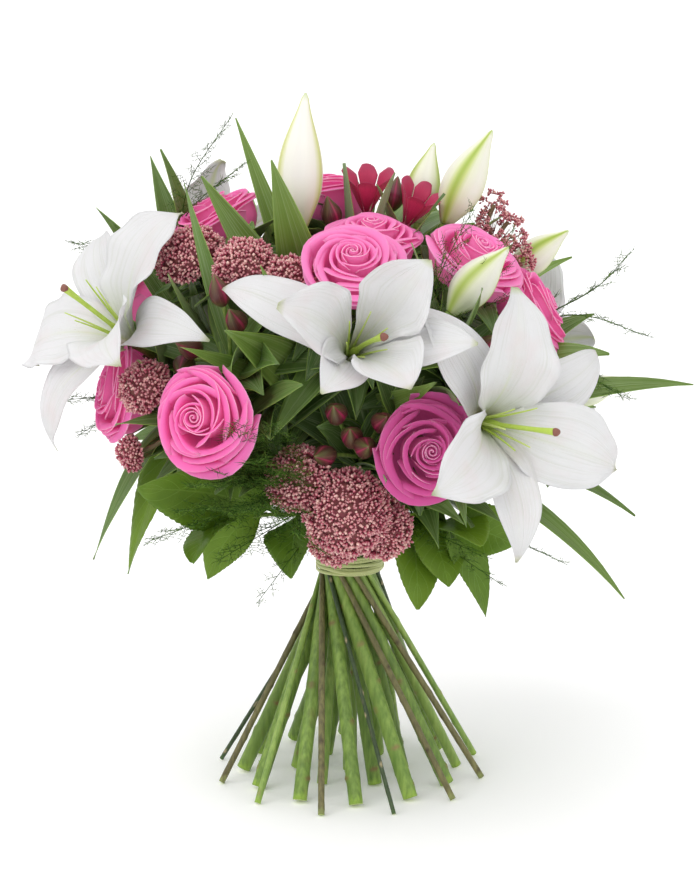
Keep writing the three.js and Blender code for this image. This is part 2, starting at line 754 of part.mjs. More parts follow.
const bud = (x, y, z, azimuth, elevation) => ({ at: v3(x, y, z), face: [azimuth, elevation], open: 0 });
const flower = (x, y, z, azimuth, elevation, open = 1) => ({
  at: v3(x, y, z),
  face: [azimuth, elevation],
  open,
});
const ALSTROEMERIAS = [
  {
    name: "alstroemeria_top",
    slot: [1, 3],
    neck: v3(6, -10, 392),
    face: [-80, 80],
    florets: [
      flower(12, -14, 420, -85, 74, 0.9),
      flower(38, -16, 412, -40, 60, 0.6),
      bud(-12, -24, 416, -110, 62),
      bud(30, 8, 424, 40, 76),
    ],
    leaves: [leaf(0.92, -10, -34, 454, 24, 0, 0)],
  },
  {
    name: "alstroemeria_front",
    slot: [2, 11],
    neck: v3(8, -92, 262),
    face: [-92, 22],
    florets: [
      bud(2, -122, 279, -95, 32),
      bud(-12, -120, 270, -118, 8),
      bud(18, -120, 272, -64, 8),
      bud(28, -106, 284, -55, 22),
    ],
    leaves: [
      leaf(0.8, 42, -164, 264, 24, 2, 0),
      leaf(0.85, -44, -150, 296, 26, 8, 0),
      leaf(0.7, 78, -120, 222, 24, 8, 0),
    ],
  },
  {
    name: "alstroemeria_left",
    slot: [2, 9],
    neck: v3(-82, -88, 328),
    face: [-130, 40],
    florets: [
      bud(-74, -116, 356, -110, 40),
      bud(-102, -108, 340, -130, 20),
      bud(-122, -96, 358, -150, 40),
      bud(-108, -100, 280, -130, -14),
      bud(-86, -112, 372, -115, 60),
    ],
    leaves: [
      leaf(0.95, -112, -80, 462, 24, 0, 10),
      leaf(0.75, -64, -160, 300, 26, 4, 0),
    ],
  },
  {
    name: "alstroemeria_right",
    slot: [3, 2],
    neck: v3(72, -92, 318),
    face: [-58, 42],
    florets: [bud(74, -122, 322, -60, 10), bud(88, -112, 338, -50, 40), bud(58, -118, 340, -80, 50)],
    leaves: [
      leaf(0.95, 72, -154, 388, 26, 6, 0),
      leaf(0.8, 90, -172, 318, 26, 4, 0),
    ],
  },
];

const BROADLEAVES = [
  {
    name: "broadleaf_left",
    slot: [3, 10],
    neck: v3(-86, -70, 212),
    face: [-140, 0],
    leaves: [
      broad(0.62, -142, -130, 246, 54, 6, 0),
      broad(0.5, -44, -84, 174, 48, 10, 0),
      broad(0.72, -106, -46, 162, 40, 14, 0),
      broad(0.98, -112, -118, 196, 40, 6, 0),
    ],
  },
  {
    name: "broadleaf_right",
    slot: [3, 1],
    neck: v3(70, -74, 208),
    face: [-50, -6],
    leaves: [
      broad(0.55, 50, -92, 153, 46, 14, 0),
      broad(0.9, 100, -62, 138, 30, 18, 0),
      broad(0.8, 92, -112, 208, 46, 4, 0),
      broad(0.98, 116, -80, 196, 40, 4, 0),
    ],
  },
  {
    name: "broadleaf_back",
    slot: [3, 5],
    neck: v3(10, 96, 224),
    face: [88, 4],
    leaves: [
      broad(0.6, -62, 126, 214, 50, 8, 0),
      broad(0.7, 70, 122, 206, 50, 8, 0),
      broad(0.8, -18, 138, 180, 46, 14, 0),
      broad(0.9, 34, 150, 236, 46, 6, 0),
      broad(0.98, -6, 152, 256, 44, 4, 0),
    ],
  },
];

const FERNS = [
  { name: "fern_front", slot: [3, 11], neck: v3(-86, -142, 256), face: [-140, 2], spread: 34 },
  { name: "fern_right", slot: [3, 3], neck: v3(150, -10, 366), face: [-6, 52], spread: 36 },
  { name: "fern_back", slot: [3, 7], neck: v3(-154, 16, 416), face: [174, 48], spread: 36 },
];

// Building. Each plant has a core that nothing bends, and leaves that bend clear of every core
// and of the leaves before them. What still crosses is cut back.

const cores = [];
const leafGroups = [];

function addCore(name, colour, make) {
  cores.push({ name, colour, solid: make(0), clear: make(CLEARANCE) });
}

const boxesMeet = (a, b) => {
  const p = a.boundingBox();
  const q = b.boundingBox();
  return [0, 1, 2].every((i) => p.min[i] <= q.max[i] && q.min[i] <= p.max[i]);
};

const without = (solid, others) => {
  const near = others.filter((o) => boxesMeet(solid, o));
  return near.length ? solid.subtract(joined(near)) : solid;
};

// How far a leaf's tip moves sideways and up, in the order tried.
const BENDS = [
  [0, 0],
  [0, 8],
  [0, -8],
  [9, 0],
  [-9, 0],
  [9, 9],
  [-9, 9],
  [9, -9],
  [-9, -9],
  [0, 18],
  [0, -18],
  [18, 0],
  [-18, 0],
  [18, 14],
  [-18, 14],
];

function bentClear(base, plain, obstacles) {
  const side = plain.tip.clone().sub(base).cross(v3(0, 0, 1)).normalize();
  let best = null;
  for (const [across, up] of BENDS) {
    const tip = plain.tip.clone().addScaledVector(side, across).add(v3(0, 0, up));
    const bent = { ...plain, tip };
    const solid = leafBlade(base, bent, 0);
    const crossing = obstacles
      .filter((o) => boxesMeet(solid, o))
      .reduce((sum, o) => sum + solid.intersect(o).volume(), 0);
    if (!best || crossing < best.crossing) best = { bent, solid, crossing };
    if (crossing < 0.01) break;
  }
  return best;
}

function addLeaves(name, curve, leaves) {
  const others = cores.filter((c) => c.name !== name).map((c) => c.clear);
  for (const plain of leaves) {
    const base = curve.getPoint(plain.along);
    const placed = leafGroups.filter((g) => g.name !== name).map((g) => g.clear);
    const { bent, solid, crossing } = bentClear(base, plain, [...others, ...placed]);
    const fits = crossing < 0.01 ? solid : without(solid, [...others, ...placed]);
    leafGroups.push({ name, solid: fits, clear: leafBlade(base, bent, CLEARANCE) });
  }
}

const GREEN = { stem: 0x6f9a3c, leaf: 0x2f6b26, broad: 0x2f6a1c, fern: 0x2c5a22, woody: 0x5b4a3a };
const PINK = 0xe9479f;
const WHITE = 0xf6f4ee;
const RICE = 0xc2737c;
const RED = 0xa52344;
const RAFFIA = 0xb5bf74;

const stemCurve = (plant) => upperCurve(plant.slot, plant.neck, facing(plant.face));

for (const plant of LILIES)
  addCore(plant.name, GREEN.leaf, (grow) => {
    const stalks = plant.blooms.map((bloom) => {
      const face = facing(bloom.face);
      return stalkTube(plant.neck, bloom.neck.clone().addScaledVector(face, -0.4), face, 2.8, grow);
    });
    const buds = plant.buds.map((b) => {
      const face = b.tip.clone().sub(b.base).normalize();
      const to = b.base.clone().addScaledVector(face, b.name ? -0.4 : 0);
      const closed = b.name ? null : { length: b.tip.distanceTo(b.base), radius: b.radius };
      return stalkTube(plant.neck, to, face, 2.6, grow, closed ? 6 : 4, closed);
    });
    return joined([stemTube(plant.slot, stemCurve(plant), LILY_STEM, grow), ...stalks, ...buds]);
  });
for (const plant of ROSES)
  addCore(`${plant.name}_stem`, GREEN.stem, (grow) =>
    stemTube(plant.slot, stemCurve(plant), ROSE_STEM, grow, { crown: ROSE_CUP }),
  );
for (const plant of ALSTROEMERIAS) {
  const diameter = plant.slot[0] === 3 ? RICE_STEM : ALSTROEMERIA_STEM;
  addCore(`${plant.name}_stem`, GREEN.leaf, (grow) => stemTube(plant.slot, stemCurve(plant), diameter, grow));
}
for (const plant of RICE_FLOWERS)
  addCore(`${plant.name}_stem`, GREEN.woody, (grow) =>
    stemTube(plant.slot, stemCurve(plant), RICE_STEM, grow),
  );
for (const plant of BROADLEAVES)
  addCore(plant.name, GREEN.broad, (grow) =>
    stemTube(plant.slot, stemCurve(plant), BROADLEAF_STEM, grow, { taper: 0.6 }),
  );
for (const plant of FERNS)
  addCore(plant.name, GREEN.fern, (grow) =>
    stemTube(plant.slot, stemCurve(plant), FERN_STEM, grow, { taper: 0.4, sides: 4 }),
  );
addCore("raffia_tie", RAFFIA, tieSolid);
for (const plant of ROSES) addCore(`${plant.name}_petals`, PINK, (grow) => rosePetals(plant, grow));
for (const plant of LILIES) {
  for (const bloom of plant.blooms) addCore(bloom.name, WHITE, (grow) => lilyBloom(bloom, grow));
  for (const b of plant.buds.filter((x) => x.name)) addCore(b.name, WHITE, (grow) => budSolid(b, grow));
}
for (const plant of ALSTROEMERIAS) addCore(`${plant.name}_flowers`, RED, (grow) => umbelSolid(plant, grow));
for (const plant of RICE_FLOWERS) addCore(`${plant.name}_heads`, RICE, (grow) => riceHeads(plant, grow));

for (const plant of FERNS) {
  const curve = stemCurve(plant);
  const others = cores.filter((c) => c.name !== plant.name).map((c) => c.clear);
  const needles = fernBranches(curve, plant.spread, 0);
  leafGroups.push({
    name: plant.name,
    solid: without(needles, others),
    clear: fernBranches(curve, plant.spread, CLEARANCE),
  });
}
for (const plant of [...LILIES, ...BROADLEAVES]) addLeaves(plant.name, stemCurve(plant), plant.leaves);
for (const plant of [...ALSTROEMERIAS, ...ROSES])
  addLeaves(`${plant.name}_stem`, stemCurve(plant), plant.leaves);

const bouquet = new THREE.Group();
cores.forEach((core, i) => {
  const trimmed = without(core.solid, cores.slice(0, i).map((c) => c.clear));
  const leaves = leafGroups.filter((g) => g.name === core.name).map((g) => g.solid);
  const mesh = largest(joined([trimmed, ...leaves]).asOriginal().simplify(FINENESS)).getMesh();
  const geometry = new THREE.BufferGeometry();
  geometry.setAttribute("position", new THREE.BufferAttribute(mesh.vertProperties, 3));
  geometry.setIndex(new THREE.BufferAttribute(mesh.triVerts, 1));
  const material = new THREE.MeshStandardMaterial({ color: core.colour, roughness: 0.55, metalness: 0 });
  const piece = new THREE.Mesh(geometry, material);
  piece.name = core.name;
  bouquet.add(piece);
});

export default bouquet;
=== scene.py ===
import math

import bpy
import numpy as np
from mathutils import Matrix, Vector
from mathutils.kdtree import KDTree


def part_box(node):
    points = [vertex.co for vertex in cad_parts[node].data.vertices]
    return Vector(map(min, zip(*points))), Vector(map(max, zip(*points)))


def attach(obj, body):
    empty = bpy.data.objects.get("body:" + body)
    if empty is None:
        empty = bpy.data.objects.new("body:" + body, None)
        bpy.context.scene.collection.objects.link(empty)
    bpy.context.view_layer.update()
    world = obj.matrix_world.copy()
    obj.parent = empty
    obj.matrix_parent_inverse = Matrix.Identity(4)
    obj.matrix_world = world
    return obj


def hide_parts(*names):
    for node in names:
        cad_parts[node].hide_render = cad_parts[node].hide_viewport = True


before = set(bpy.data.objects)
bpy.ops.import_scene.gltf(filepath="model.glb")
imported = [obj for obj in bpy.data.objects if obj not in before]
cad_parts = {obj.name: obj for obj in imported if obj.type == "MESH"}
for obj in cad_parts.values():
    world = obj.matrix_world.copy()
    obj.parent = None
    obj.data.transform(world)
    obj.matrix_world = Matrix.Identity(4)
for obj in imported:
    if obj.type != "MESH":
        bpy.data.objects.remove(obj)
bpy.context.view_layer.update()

# Lengths are millimetres, and become metres where a mesh is made.

TURN = 6.3  # radians in a turn, rounded, for places that give a share round
NEXT = 2.4  # radians round from a leaf or a petal to the next
GOLDEN_ANGLE = 2.399963

# Directions


def vec(*c):
    return np.array(c, float)


def unit(v):
    return v / max(float(np.linalg.norm(v)), 1e-9)


def units(a):
    return a / np.maximum(np.linalg.norm(a, axis=-1, keepdims=True), 1e-9)


def square_to(ways):
    """A direction square to each of many."""
    guide = np.where(np.abs(ways[:, 2:]) < 0.9, vec(0, 0, 1), vec(1, 0, 0))
    return units(np.cross(ways, guide))


def facing(face):
    """A unit vector from its azimuth (0 along +X, 90 along +Y) and elevation, in degrees."""
    a, e = np.radians(face)
    return vec(math.cos(a) * math.cos(e), math.sin(a) * math.cos(e), math.sin(e))


def axes_along(direction, roll=0.0):
    """Three axes, the last along a direction. The first lies level, unless roll turns it."""
    z = unit(direction)
    guide = vec(0, 0, 1) if abs(z[2]) < 0.94 else vec(0, -1, 0)
    side = unit(np.cross(guide, z))
    r = math.radians(roll)
    x = side * math.cos(r) + np.cross(z, side) * math.sin(r)
    return np.array([x, np.cross(z, x), z])


def in_axes(origin, axes, x, y, z):
    x, y, z = np.broadcast_arrays(x, y, z)
    return origin + x[..., None] * axes[0] + y[..., None] * axes[1] + z[..., None] * axes[2]


def smooth_line(points, v):
    """A smooth curve through points (n x d), read at shares v of any shape."""
    p = np.asarray(points, float)
    n = len(p) - 1
    s = np.clip(v, 0, 1) * n
    i = np.minimum(s.astype(int), n - 1)
    f = (s - i)[..., None]
    a, b = p[i], p[i + 1]
    before = np.where((i > 0)[..., None], p[np.maximum(i - 1, 0)], 2 * a - b)
    after = np.where((i < n - 1)[..., None], p[np.minimum(i + 2, n)], 2 * b - a)
    m0, m1 = (b - before) / 2, (after - a) / 2
    return (
        (2 * f**3 - 3 * f**2 + 1) * a
        + (f**3 - 2 * f**2 + f) * m0
        + (3 * f**2 - 2 * f**3) * b
        + (f**3 - f**2) * m1
    )


def step(x):
    """0 up to 0, and 1 from 1, with a smooth rise between."""
    x = np.clip(x, 0, 1)
    return x * x * (3 - 2 * x)


def sheet(rows, cols):
    """Places over a sheet: u runs across it from -1 to 1, and v along it from 0 to 1."""
    return np.linspace(-1, 1, cols)[None, :], np.linspace(0, 1, rows)[:, None]


def summed(steps):
    """The sum up to each mark, from 0."""
    return np.concatenate([[0], np.cumsum(steps)])


def lengths(path):
    """How far along a path each of its points is."""
    return summed(np.linalg.norm(np.diff(path, axis=0), axis=1))


def bow(a, b, c, s):
    """A curve from a to c, drawn towards b, at shares s."""
    return a * (1 - s) ** 2 + 2 * b * s * (1 - s) + c * s**2


def circle(count):
    """Even angles round a circle."""
    return np.arange(count) * 2 * np.pi / count


def triples(u, v, tint):
    """The place of each point: three numbers that its material reads."""
    return np.stack(np.broadcast_arrays(u, v, tint), -1)


# Meshes


class Form:
    """The faces of one piece. Each point carries a place, which its material reads."""

    def __init__(self):
        self.points, self.places, self.count = [], [], 0
        self.faces, self.sizes, self.kinds, self.smooth = [], [], [], []

    def grid(self, points, place, kind, wrap=False, flip=False):
        rows, cols = points.shape[:2]
        index = np.arange(rows * cols).reshape(rows, cols) + self.count
        self.count += rows * cols
        self.points.append(points.reshape(-1, 3))
        self.places.append(np.broadcast_to(place, points.shape).reshape(-1, 3))
        here = index if wrap else index[:, :-1]
        near = np.roll(index, -1, 1) if wrap else index[:, 1:]
        quads = np.stack([here[:-1], near[:-1], near[1:], here[1:]], -1).reshape(-1, 4)
        self.add(quads[:, ::-1] if flip else quads, kind)
        return index

    def add(self, polygons, kind, smooth=True):
        polygons = np.atleast_2d(polygons)
        count, size = polygons.shape
        self.faces.append(polygons.reshape(-1))
        self.sizes.append(np.full(count, size))
        self.kinds.append(np.full(count, kind))
        self.smooth.append(np.full(count, smooth))

    def shell(self, mid, kind, tint=0.0, thick=0.6, edge=0.35):
        """A thin closed sheet about a middle surface. The far side's tint is 1 more."""
        rows, cols = mid.shape[:2]
        normal = units(np.cross(np.gradient(mid, axis=1), np.gradient(mid, axis=0)))
        u, v = sheet(rows, cols)
        half = thick / 2 * (edge + (1 - edge) * (1 - u**6) * (1 - v**12))
        place = triples(u, v, tint)
        a = self.grid(mid + normal * half[..., None], place, kind)
        b = self.grid(mid - normal * half[..., None], place + [0, 0, 1], kind, flip=True)
        fore, rear = [np.concatenate([i[0, :-1], i[:-1, -1], i[-1, :0:-1], i[:0:-1, 0]]) for i in (a, b)]
        fore2, rear2 = np.roll(fore, -1), np.roll(rear, -1)
        self.add(np.stack([fore2, fore, rear, rear2], -1), kind, False)

    def tube(self, path, radii, sides, kind, tint=0.0, scar=None, cap=None):
        """A closed tube. Its place is (scar or share round, length along, tint)."""
        path = np.asarray(path, float)
        count = len(path)
        along = units(np.gradient(path, axis=0))
        side = axes_along(along[0])[0]
        across = []
        for t in along:
            side = unit(side - t * (side @ t))
            across.append(side)
        across = np.array(across)
        other = np.cross(along, across)
        a = circle(sides)
        if np.ndim(radii) < 2:
            radii = np.broadcast_to(radii, count)[:, None]
        r = np.broadcast_to(radii, (count, sides))
        ring = across[:, None] * np.cos(a)[:, None] + other[:, None] * np.sin(a)[:, None]
        run = lengths(path)
        first = (a / (2 * np.pi))[None, :] if scar is None else scar
        place = triples(first, run[:, None], tint)
        index = self.grid(path[:, None] + ring * r[..., None], place, kind, wrap=True)
        self.add(index[0][::-1], kind if cap is None else cap, False)
        self.add(index[-1], kind, False)
        return along, across, other

    def knob(self, base, way, heights, radii, sides, kind, tint, scar=None):
        """A short straight tube with a radius at each height."""
        self.tube([base + way * h for h in heights], radii, sides, kind, tint, scar)

    def buds(self, start, way, length, radius, kind, tint):
        """Many small four-sided buds at once. Their place is (share round, share along, tint)."""
        n = len(start)
        side = square_to(way)
        other = np.cross(way, side)
        a = circle(4)
        ring = side[:, None] * np.cos(a)[:, None] + other[:, None] * np.sin(a)[:, None]
        first = self.count
        for share, wide in ((0, 0.5), (0.6, 1.0)):
            spot = start + way * (share * length)[:, None]
            self.points.append((spot[:, None] + ring * (wide * radius)[:, None, None]).reshape(-1, 3))
            self.places.append(triples(a / TURN, share, tint[:, None]).reshape(-1, 3))
        self.points.append(start + way * length[:, None])
        self.places.append(triples(0.0, 1.0, tint))
        self.count += 9 * n
        index = first + np.arange(8 * n).reshape(2, n, 4)
        near = np.roll(index, -1, 2)
        self.add(np.stack([index[0], near[0], near[1], index[1]], -1).reshape(-1, 4), kind)
        top = np.broadcast_to((first + 8 * n + np.arange(n))[:, None], (n, 4))
        self.add(np.stack([index[1], near[1], top], -1).reshape(-1, 3), kind)
        self.add(index[0][:, ::-1], kind)

    def spike(self, base, tip, radius, kind, tint):
        """Many three-sided needles at once."""
        n = len(base)
        along = units(tip - base)
        side = square_to(along)
        other = np.cross(along, side)
        turns = (0, 2 * math.pi / 3, 4 * math.pi / 3)
        ring = [base + radius * (side * math.cos(a) + other * math.sin(a)) for a in turns]
        start = self.count
        self.points.append(np.concatenate([*ring, tip]))
        place = np.zeros((4 * n, 3))
        place[3 * n :, 1] = 1
        place[:, 2] = np.tile(np.broadcast_to(tint, n), 4)
        self.places.append(place)
        self.count += 4 * n
        a, b, c, d = [start + k * n + np.arange(n) for k in range(4)]
        for face in ((a, b, d), (b, c, d), (c, a, d), (a, c, b)):
            self.add(np.stack(face, -1), kind)

    def piece(self, name, materials, slot, node):
        """The piece's mesh, on the root body, in the place of its node."""
        mesh = bpy.data.meshes.new(name)
        points = np.concatenate(self.points) / 1000
        sizes = np.concatenate(self.sizes)
        corners = np.concatenate(self.faces)
        mesh.vertices.add(len(points))
        mesh.vertices.foreach_set("co", points.ravel())
        mesh.loops.add(len(corners))
        mesh.loops.foreach_set("vertex_index", corners)
        mesh.polygons.add(len(sizes))
        mesh.polygons.foreach_set("loop_start", summed(sizes[:-1]))
        mesh.polygons.foreach_set("loop_total", sizes)
        mesh.polygons.foreach_set("material_index", np.concatenate(self.kinds))
        mesh.polygons.foreach_set("use_smooth", np.concatenate(self.smooth))
        place = mesh.attributes.new("place", "FLOAT_VECTOR", "POINT")
        place.data.foreach_set("vector", np.concatenate(self.places).ravel())
        for material in materials:
            mesh.materials.append(material)
        mesh.update(calc_edges=True)
        mesh.validate()
        made = bpy.data.objects.new(name, mesh)
        bpy.context.scene.collection.objects.link(made)
        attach(made, "root")
        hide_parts(node)


# Materials


def colour(code):
    """A linear colour from six hex digits."""
    c = np.array([int(code[i : i + 2], 16) / 255 for i in (0, 2, 4)])
    c = np.where(c <= 0.04045, c / 12.92, ((c + 0.055) / 1.055) ** 2.4)
    return (*c, 1.0)


class Shade:
    """A procedural material. u, v and w are the place that each point carries."""

    def __init__(self, name, rough=0.5, glow=0.0, gloss=0.5, **sockets):
        self.material = bpy.data.materials.new(name)
        self.material.use_nodes = True
        self.tree = self.material.node_tree
        self.bsdf = self.tree.nodes["Principled BSDF"]
        for key, value in {"Roughness": rough, "Specular_IOR_Level": gloss, **sockets}.items():
            self.bsdf.inputs[key.replace("_", " ")].default_value = value
        self.glow = glow
        place = self.node("ShaderNodeAttribute", attribute_name="place")
        parts = self.node("ShaderNodeSeparateXYZ")
        self.link(place.outputs["Vector"], parts.inputs[0])
        self.u, self.v, self.w = parts.outputs
        self.where = self.node("ShaderNodeTexCoord").outputs["Object"]
        self.seed = self.math("FRACT", self.w)
        self.back = self.math("GREATER_THAN", self.w, 0.9999)

    def node(self, kind, **settings):
        made = self.tree.nodes.new(kind)
        for key, value in settings.items():
            setattr(made, key, value)
        return made

    def link(self, a, b):
        if hasattr(a, "is_output"):
            self.tree.links.new(a, b)
        else:
            b.default_value = a
        return b

    def math(self, operation, *values, clamp=False):
        made = self.node("ShaderNodeMath", operation=operation, use_clamp=clamp)
        for i, value in enumerate(values):
            self.link(value, made.inputs[i])
        return made.outputs[0]

    def times(self, a, b):
        return self.math("MULTIPLY", a, b)

    def noise(self, scale, stretch=(1, 1, 1), detail=3.0, vector=None):
        mapping = self.node("ShaderNodeMapping")
        mapping.inputs["Scale"].default_value = [scale * s for s in stretch]
        self.link(vector or self.where, mapping.inputs["Vector"])
        made = self.node("ShaderNodeTexNoise")
        made.inputs["Scale"].default_value = 1.0
        made.inputs["Detail"].default_value = detail
        self.link(mapping.outputs[0], made.inputs["Vector"])
        return made.outputs["Fac"]

    def grain(self, round_, along, detail=3.0):
        """A noise that runs with the form, so many times over u and over v."""
        joined = self.node("ShaderNodeCombineXYZ")
        for i, part in enumerate((self.u, self.v, self.times(self.w, 7.0))):
            self.link(part, joined.inputs[i])
        return self.noise(1.0, (round_, along, 1), detail, joined.outputs[0])

    def ramp(self, value, *stops):
        made = self.node("ShaderNodeValToRGB")
        marks = made.color_ramp.elements
        while len(marks) < len(stops):
            marks.new(0.5)
        for mark, (at, code) in zip(marks, stops):
            mark.position = at
            mark.color = colour(code) if isinstance(code, str) else (code, code, code, 1)
        self.link(value, made.inputs[0])
        return made.outputs[0]

    def rise(self, value, low, high):
        """0 up to low, and 1 from high."""
        return self.ramp(value, (low, 0.0), (high, 1.0))

    def mix(self, a, b, share):
        made = self.node("ShaderNodeMix", data_type="RGBA")
        self.link(share, made.inputs[0])
        self.link(colour(a) if isinstance(a, str) else a, made.inputs[6])
        self.link(colour(b) if isinstance(b, str) else b, made.inputs[7])
        return made.outputs[2]

    def over(self, body, code, mask, amount):
        """A colour laid over a body by a mask, and no stronger than amount."""
        return self.mix(body, code, self.times(mask, amount))

    def narrow(self, value, width):
        """1 where value is 0, falling to 0 at width."""
        share = self.math("DIVIDE", self.math("ABSOLUTE", value), width)
        return self.math("SUBTRACT", 1.0, share, clamp=True)

    def waves(self, value, count):
        """A ridge pattern from 0 to 1, count times over a value's unit length."""
        turned = self.math("SINE", self.times(value, count * 2 * math.pi))
        return self.math("MULTIPLY_ADD", turned, 0.5, 0.5)

    def finish(self, base, bump=None, height=0.0, strength=0.0, glow_colour=None):
        """The base colour, the bump and its height in metres, and the light that shines through."""
        self.link(base, self.bsdf.inputs["Base Color"])
        normal = None
        if bump is not None:
            node = self.node("ShaderNodeBump")
            node.inputs["Distance"].default_value = height
            node.inputs["Strength"].default_value = strength
            self.link(bump, node.inputs["Height"])
            normal = node.outputs[0]
            self.link(normal, self.bsdf.inputs["Normal"])
        if self.glow:
            through = self.node("ShaderNodeBsdfTranslucent")
            self.link(base if glow_colour is None else glow_colour, through.inputs["Color"])
            if normal:
                self.link(normal, through.inputs["Normal"])
            both = self.node("ShaderNodeMixShader")
            both.inputs[0].default_value = self.glow
            self.link(self.bsdf.outputs[0], both.inputs[1])
            self.link(through.outputs[0], both.inputs[2])
            out = next(n for n in self.tree.nodes if n.type == "OUTPUT_MATERIAL")
            self.link(both.outputs[0], out.inputs["Surface"])
        return self.material


# Painted light and painted shade: petals are paler where their tint is below the first, and deeper where it
# is above the second.
PAINTED_LIGHT_BELOW = 0.06
PAINTED_SHADE_ABOVE = 0.85


def rose_petal_material():
    sheen = dict(Sheen_Weight=0.3, Sheen_Roughness=0.4, Sheen_Tint=colour("ffc4de"))
    # A faint pink emission: a painted glow that lifts the petals' shade.
    painted_glow = dict(Emission_Strength=0.06, Emission_Color=colour("ffa0e6"))
    s = Shade("rose petal", glow=0.42, gloss=0.2, **sheen, **painted_glow)
    # Deeper towards the petal's foot: painted shade deep in the flower. Paler at the rim: partly its own
    # colour, partly a painted highlight.
    rim = [(0.94, "fea2d8"), (0.975, "ffd0ea"), (1.0, "fff0f8")]
    body = s.ramp(s.v, (0.0, "e84cae"), (0.35, "f870c2"), (0.8, "fb8cd0"), *rim)
    body = s.over(body, "ee52b0", s.math("POWER", s.seed, 2.0), 0.3)
    body = s.over(body, "ffaed8", s.back, 0.35)
    # Paler side edges: partly their own colour, partly a painted highlight on the rolled edges.
    edge = s.math("POWER", s.math("ABSOLUTE", s.u), 14.0)
    body = s.over(body, "ffbedc", edge, 0.5)
    body = s.over(body, "e450aa", s.rise(s.noise(90, detail=2), 0.45, 0.75), 0.18)
    veins = s.grain(20, 2.2)
    body = s.over(body, "f070ba", s.rise(veins, 0.5, 0.8), 0.2)
    # Painted light: paler petals on roses high in the light. Painted shade: deeper petals on a rose in shade.
    body = s.over(body, "ffb8e8", s.math("LESS_THAN", s.seed, PAINTED_LIGHT_BELOW), 0.4)
    body = s.over(body, "c4428e", s.math("GREATER_THAN", s.seed, PAINTED_SHADE_ABOVE), 0.6)
    glow = s.mix(body, "ff7ccc", 0.5)
    return s.finish(body, veins, 0.0004, 0.3, glow)


def lily_petal_material():
    s = Shade("lily petal", rough=0.48, glow=0.3, Sheen_Weight=0.12, Sheen_Roughness=0.5, gloss=0.35)
    throat = s.ramp(s.v, (0.0, "b4cc66"), (0.08, "d6e0ae"), (0.2, "e8eae2"), (0.4, "ebebec"), (1.0, "eeeeef"))
    rib = s.times(s.narrow(s.u, 0.07), s.ramp(s.v, (0.0, 1.0), (0.25, 0.6), (0.6, 0.0)))
    body = s.over(throat, "cfdc9c", rib, 0.6)
    outside = s.times(s.narrow(s.u, 0.2), s.ramp(s.v, (0.0, 0.7), (0.6, 0.55), (0.97, 1.0)))
    body = s.over(body, "cddb7c", s.times(outside, s.back), 0.65)
    tip = s.rise(s.v, 0.95, 1.0)
    body = s.over(body, "bccb62", tip, 0.6)
    blush = s.rise(s.noise(40), 0.5, 0.8)
    body = s.over(body, "ecdcdd", blush, 0.4)
    lines = s.grain(16, 1.1)
    # Grey along the fine lines: faint veins, with painted shade in their creases.
    body = s.over(body, "d5d7cc", s.rise(lines, 0.52, 0.75), 0.5)
    specks = s.rise(s.grain(30, 60, 2.0), 0.66, 0.72)
    inward = s.ramp(s.v, (0.1, 0.0), (0.3, 1.0), (0.55, 0.5), (0.75, 0.0))
    middle = s.times(s.narrow(s.u, 0.5), inward)
    body = s.over(body, "d8b9ae", s.times(specks, middle), 0.55)
    return s.finish(body, lines, 0.0016, 0.5)


def lily_bud_material():
    """place is (share round, share along, ripeness): ripe buds are white, green ones lime."""
    s = Shade("lily bud", rough=0.42, glow=0.15, gloss=0.35)
    ribs = s.waves(s.u, 3.0)
    green = s.ramp(ribs, (0.0, "f5f5e6"), (0.66, "e9edca"), (0.92, "c4d474"), (1.0, "9cb840"))
    ripe = s.ramp(ribs, (0.0, "f7f5ef"), (0.8, "f6f4ea"), (0.97, "e9eabc"), (1.0, "dbe096"))
    body = s.mix(green, ripe, s.seed)
    low = s.ramp(s.v, (0.0, 1.0), (0.18, 0.35), (0.4, 0.0), (0.94, 0.0), (1.0, 0.9))
    body = s.over(body, "a9c650", low, 0.6)
    lines = s.grain(60, 4)
    return s.finish(body, lines, 0.0004, 0.35)


def lance_leaf_material(name, dark, light, under, rough):
    """Long leaves: fine lines run from end to end, and the margin is thin and pale, partly with painted light
    shining through.
    """
    s = Shade(name, rough=rough, glow=0.2, gloss=0.4)
    body = s.mix(dark, light, s.seed)
    cloud = s.rise(s.noise(30), 0.35, 0.7)
    body = s.over(body, light, cloud, 0.5)
    lines = s.grain(13, 0.5)
    body = s.over(body, under, s.rise(lines, 0.5, 0.72), 0.42)
    body = s.over(body, dark, s.ramp(lines, (0.25, 1.0), (0.45, 0.0)), 0.3)
    rib = s.narrow(s.u, 0.06)
    body = s.over(body, under, rib, 0.3)
    body = s.over(body, under, s.back, 0.45)
    # A pale margin: partly its own colour, partly painted light shining through the thin edge.
    margin = s.rise(s.math("ABSOLUTE", s.u), 0.93, 1.0)
    body = s.over(body, "a9cf5a", margin, 0.7)
    fold = s.math("SUBTRACT", lines, s.times(rib, 0.8))
    return s.finish(body, fold, 0.0004, 0.3)


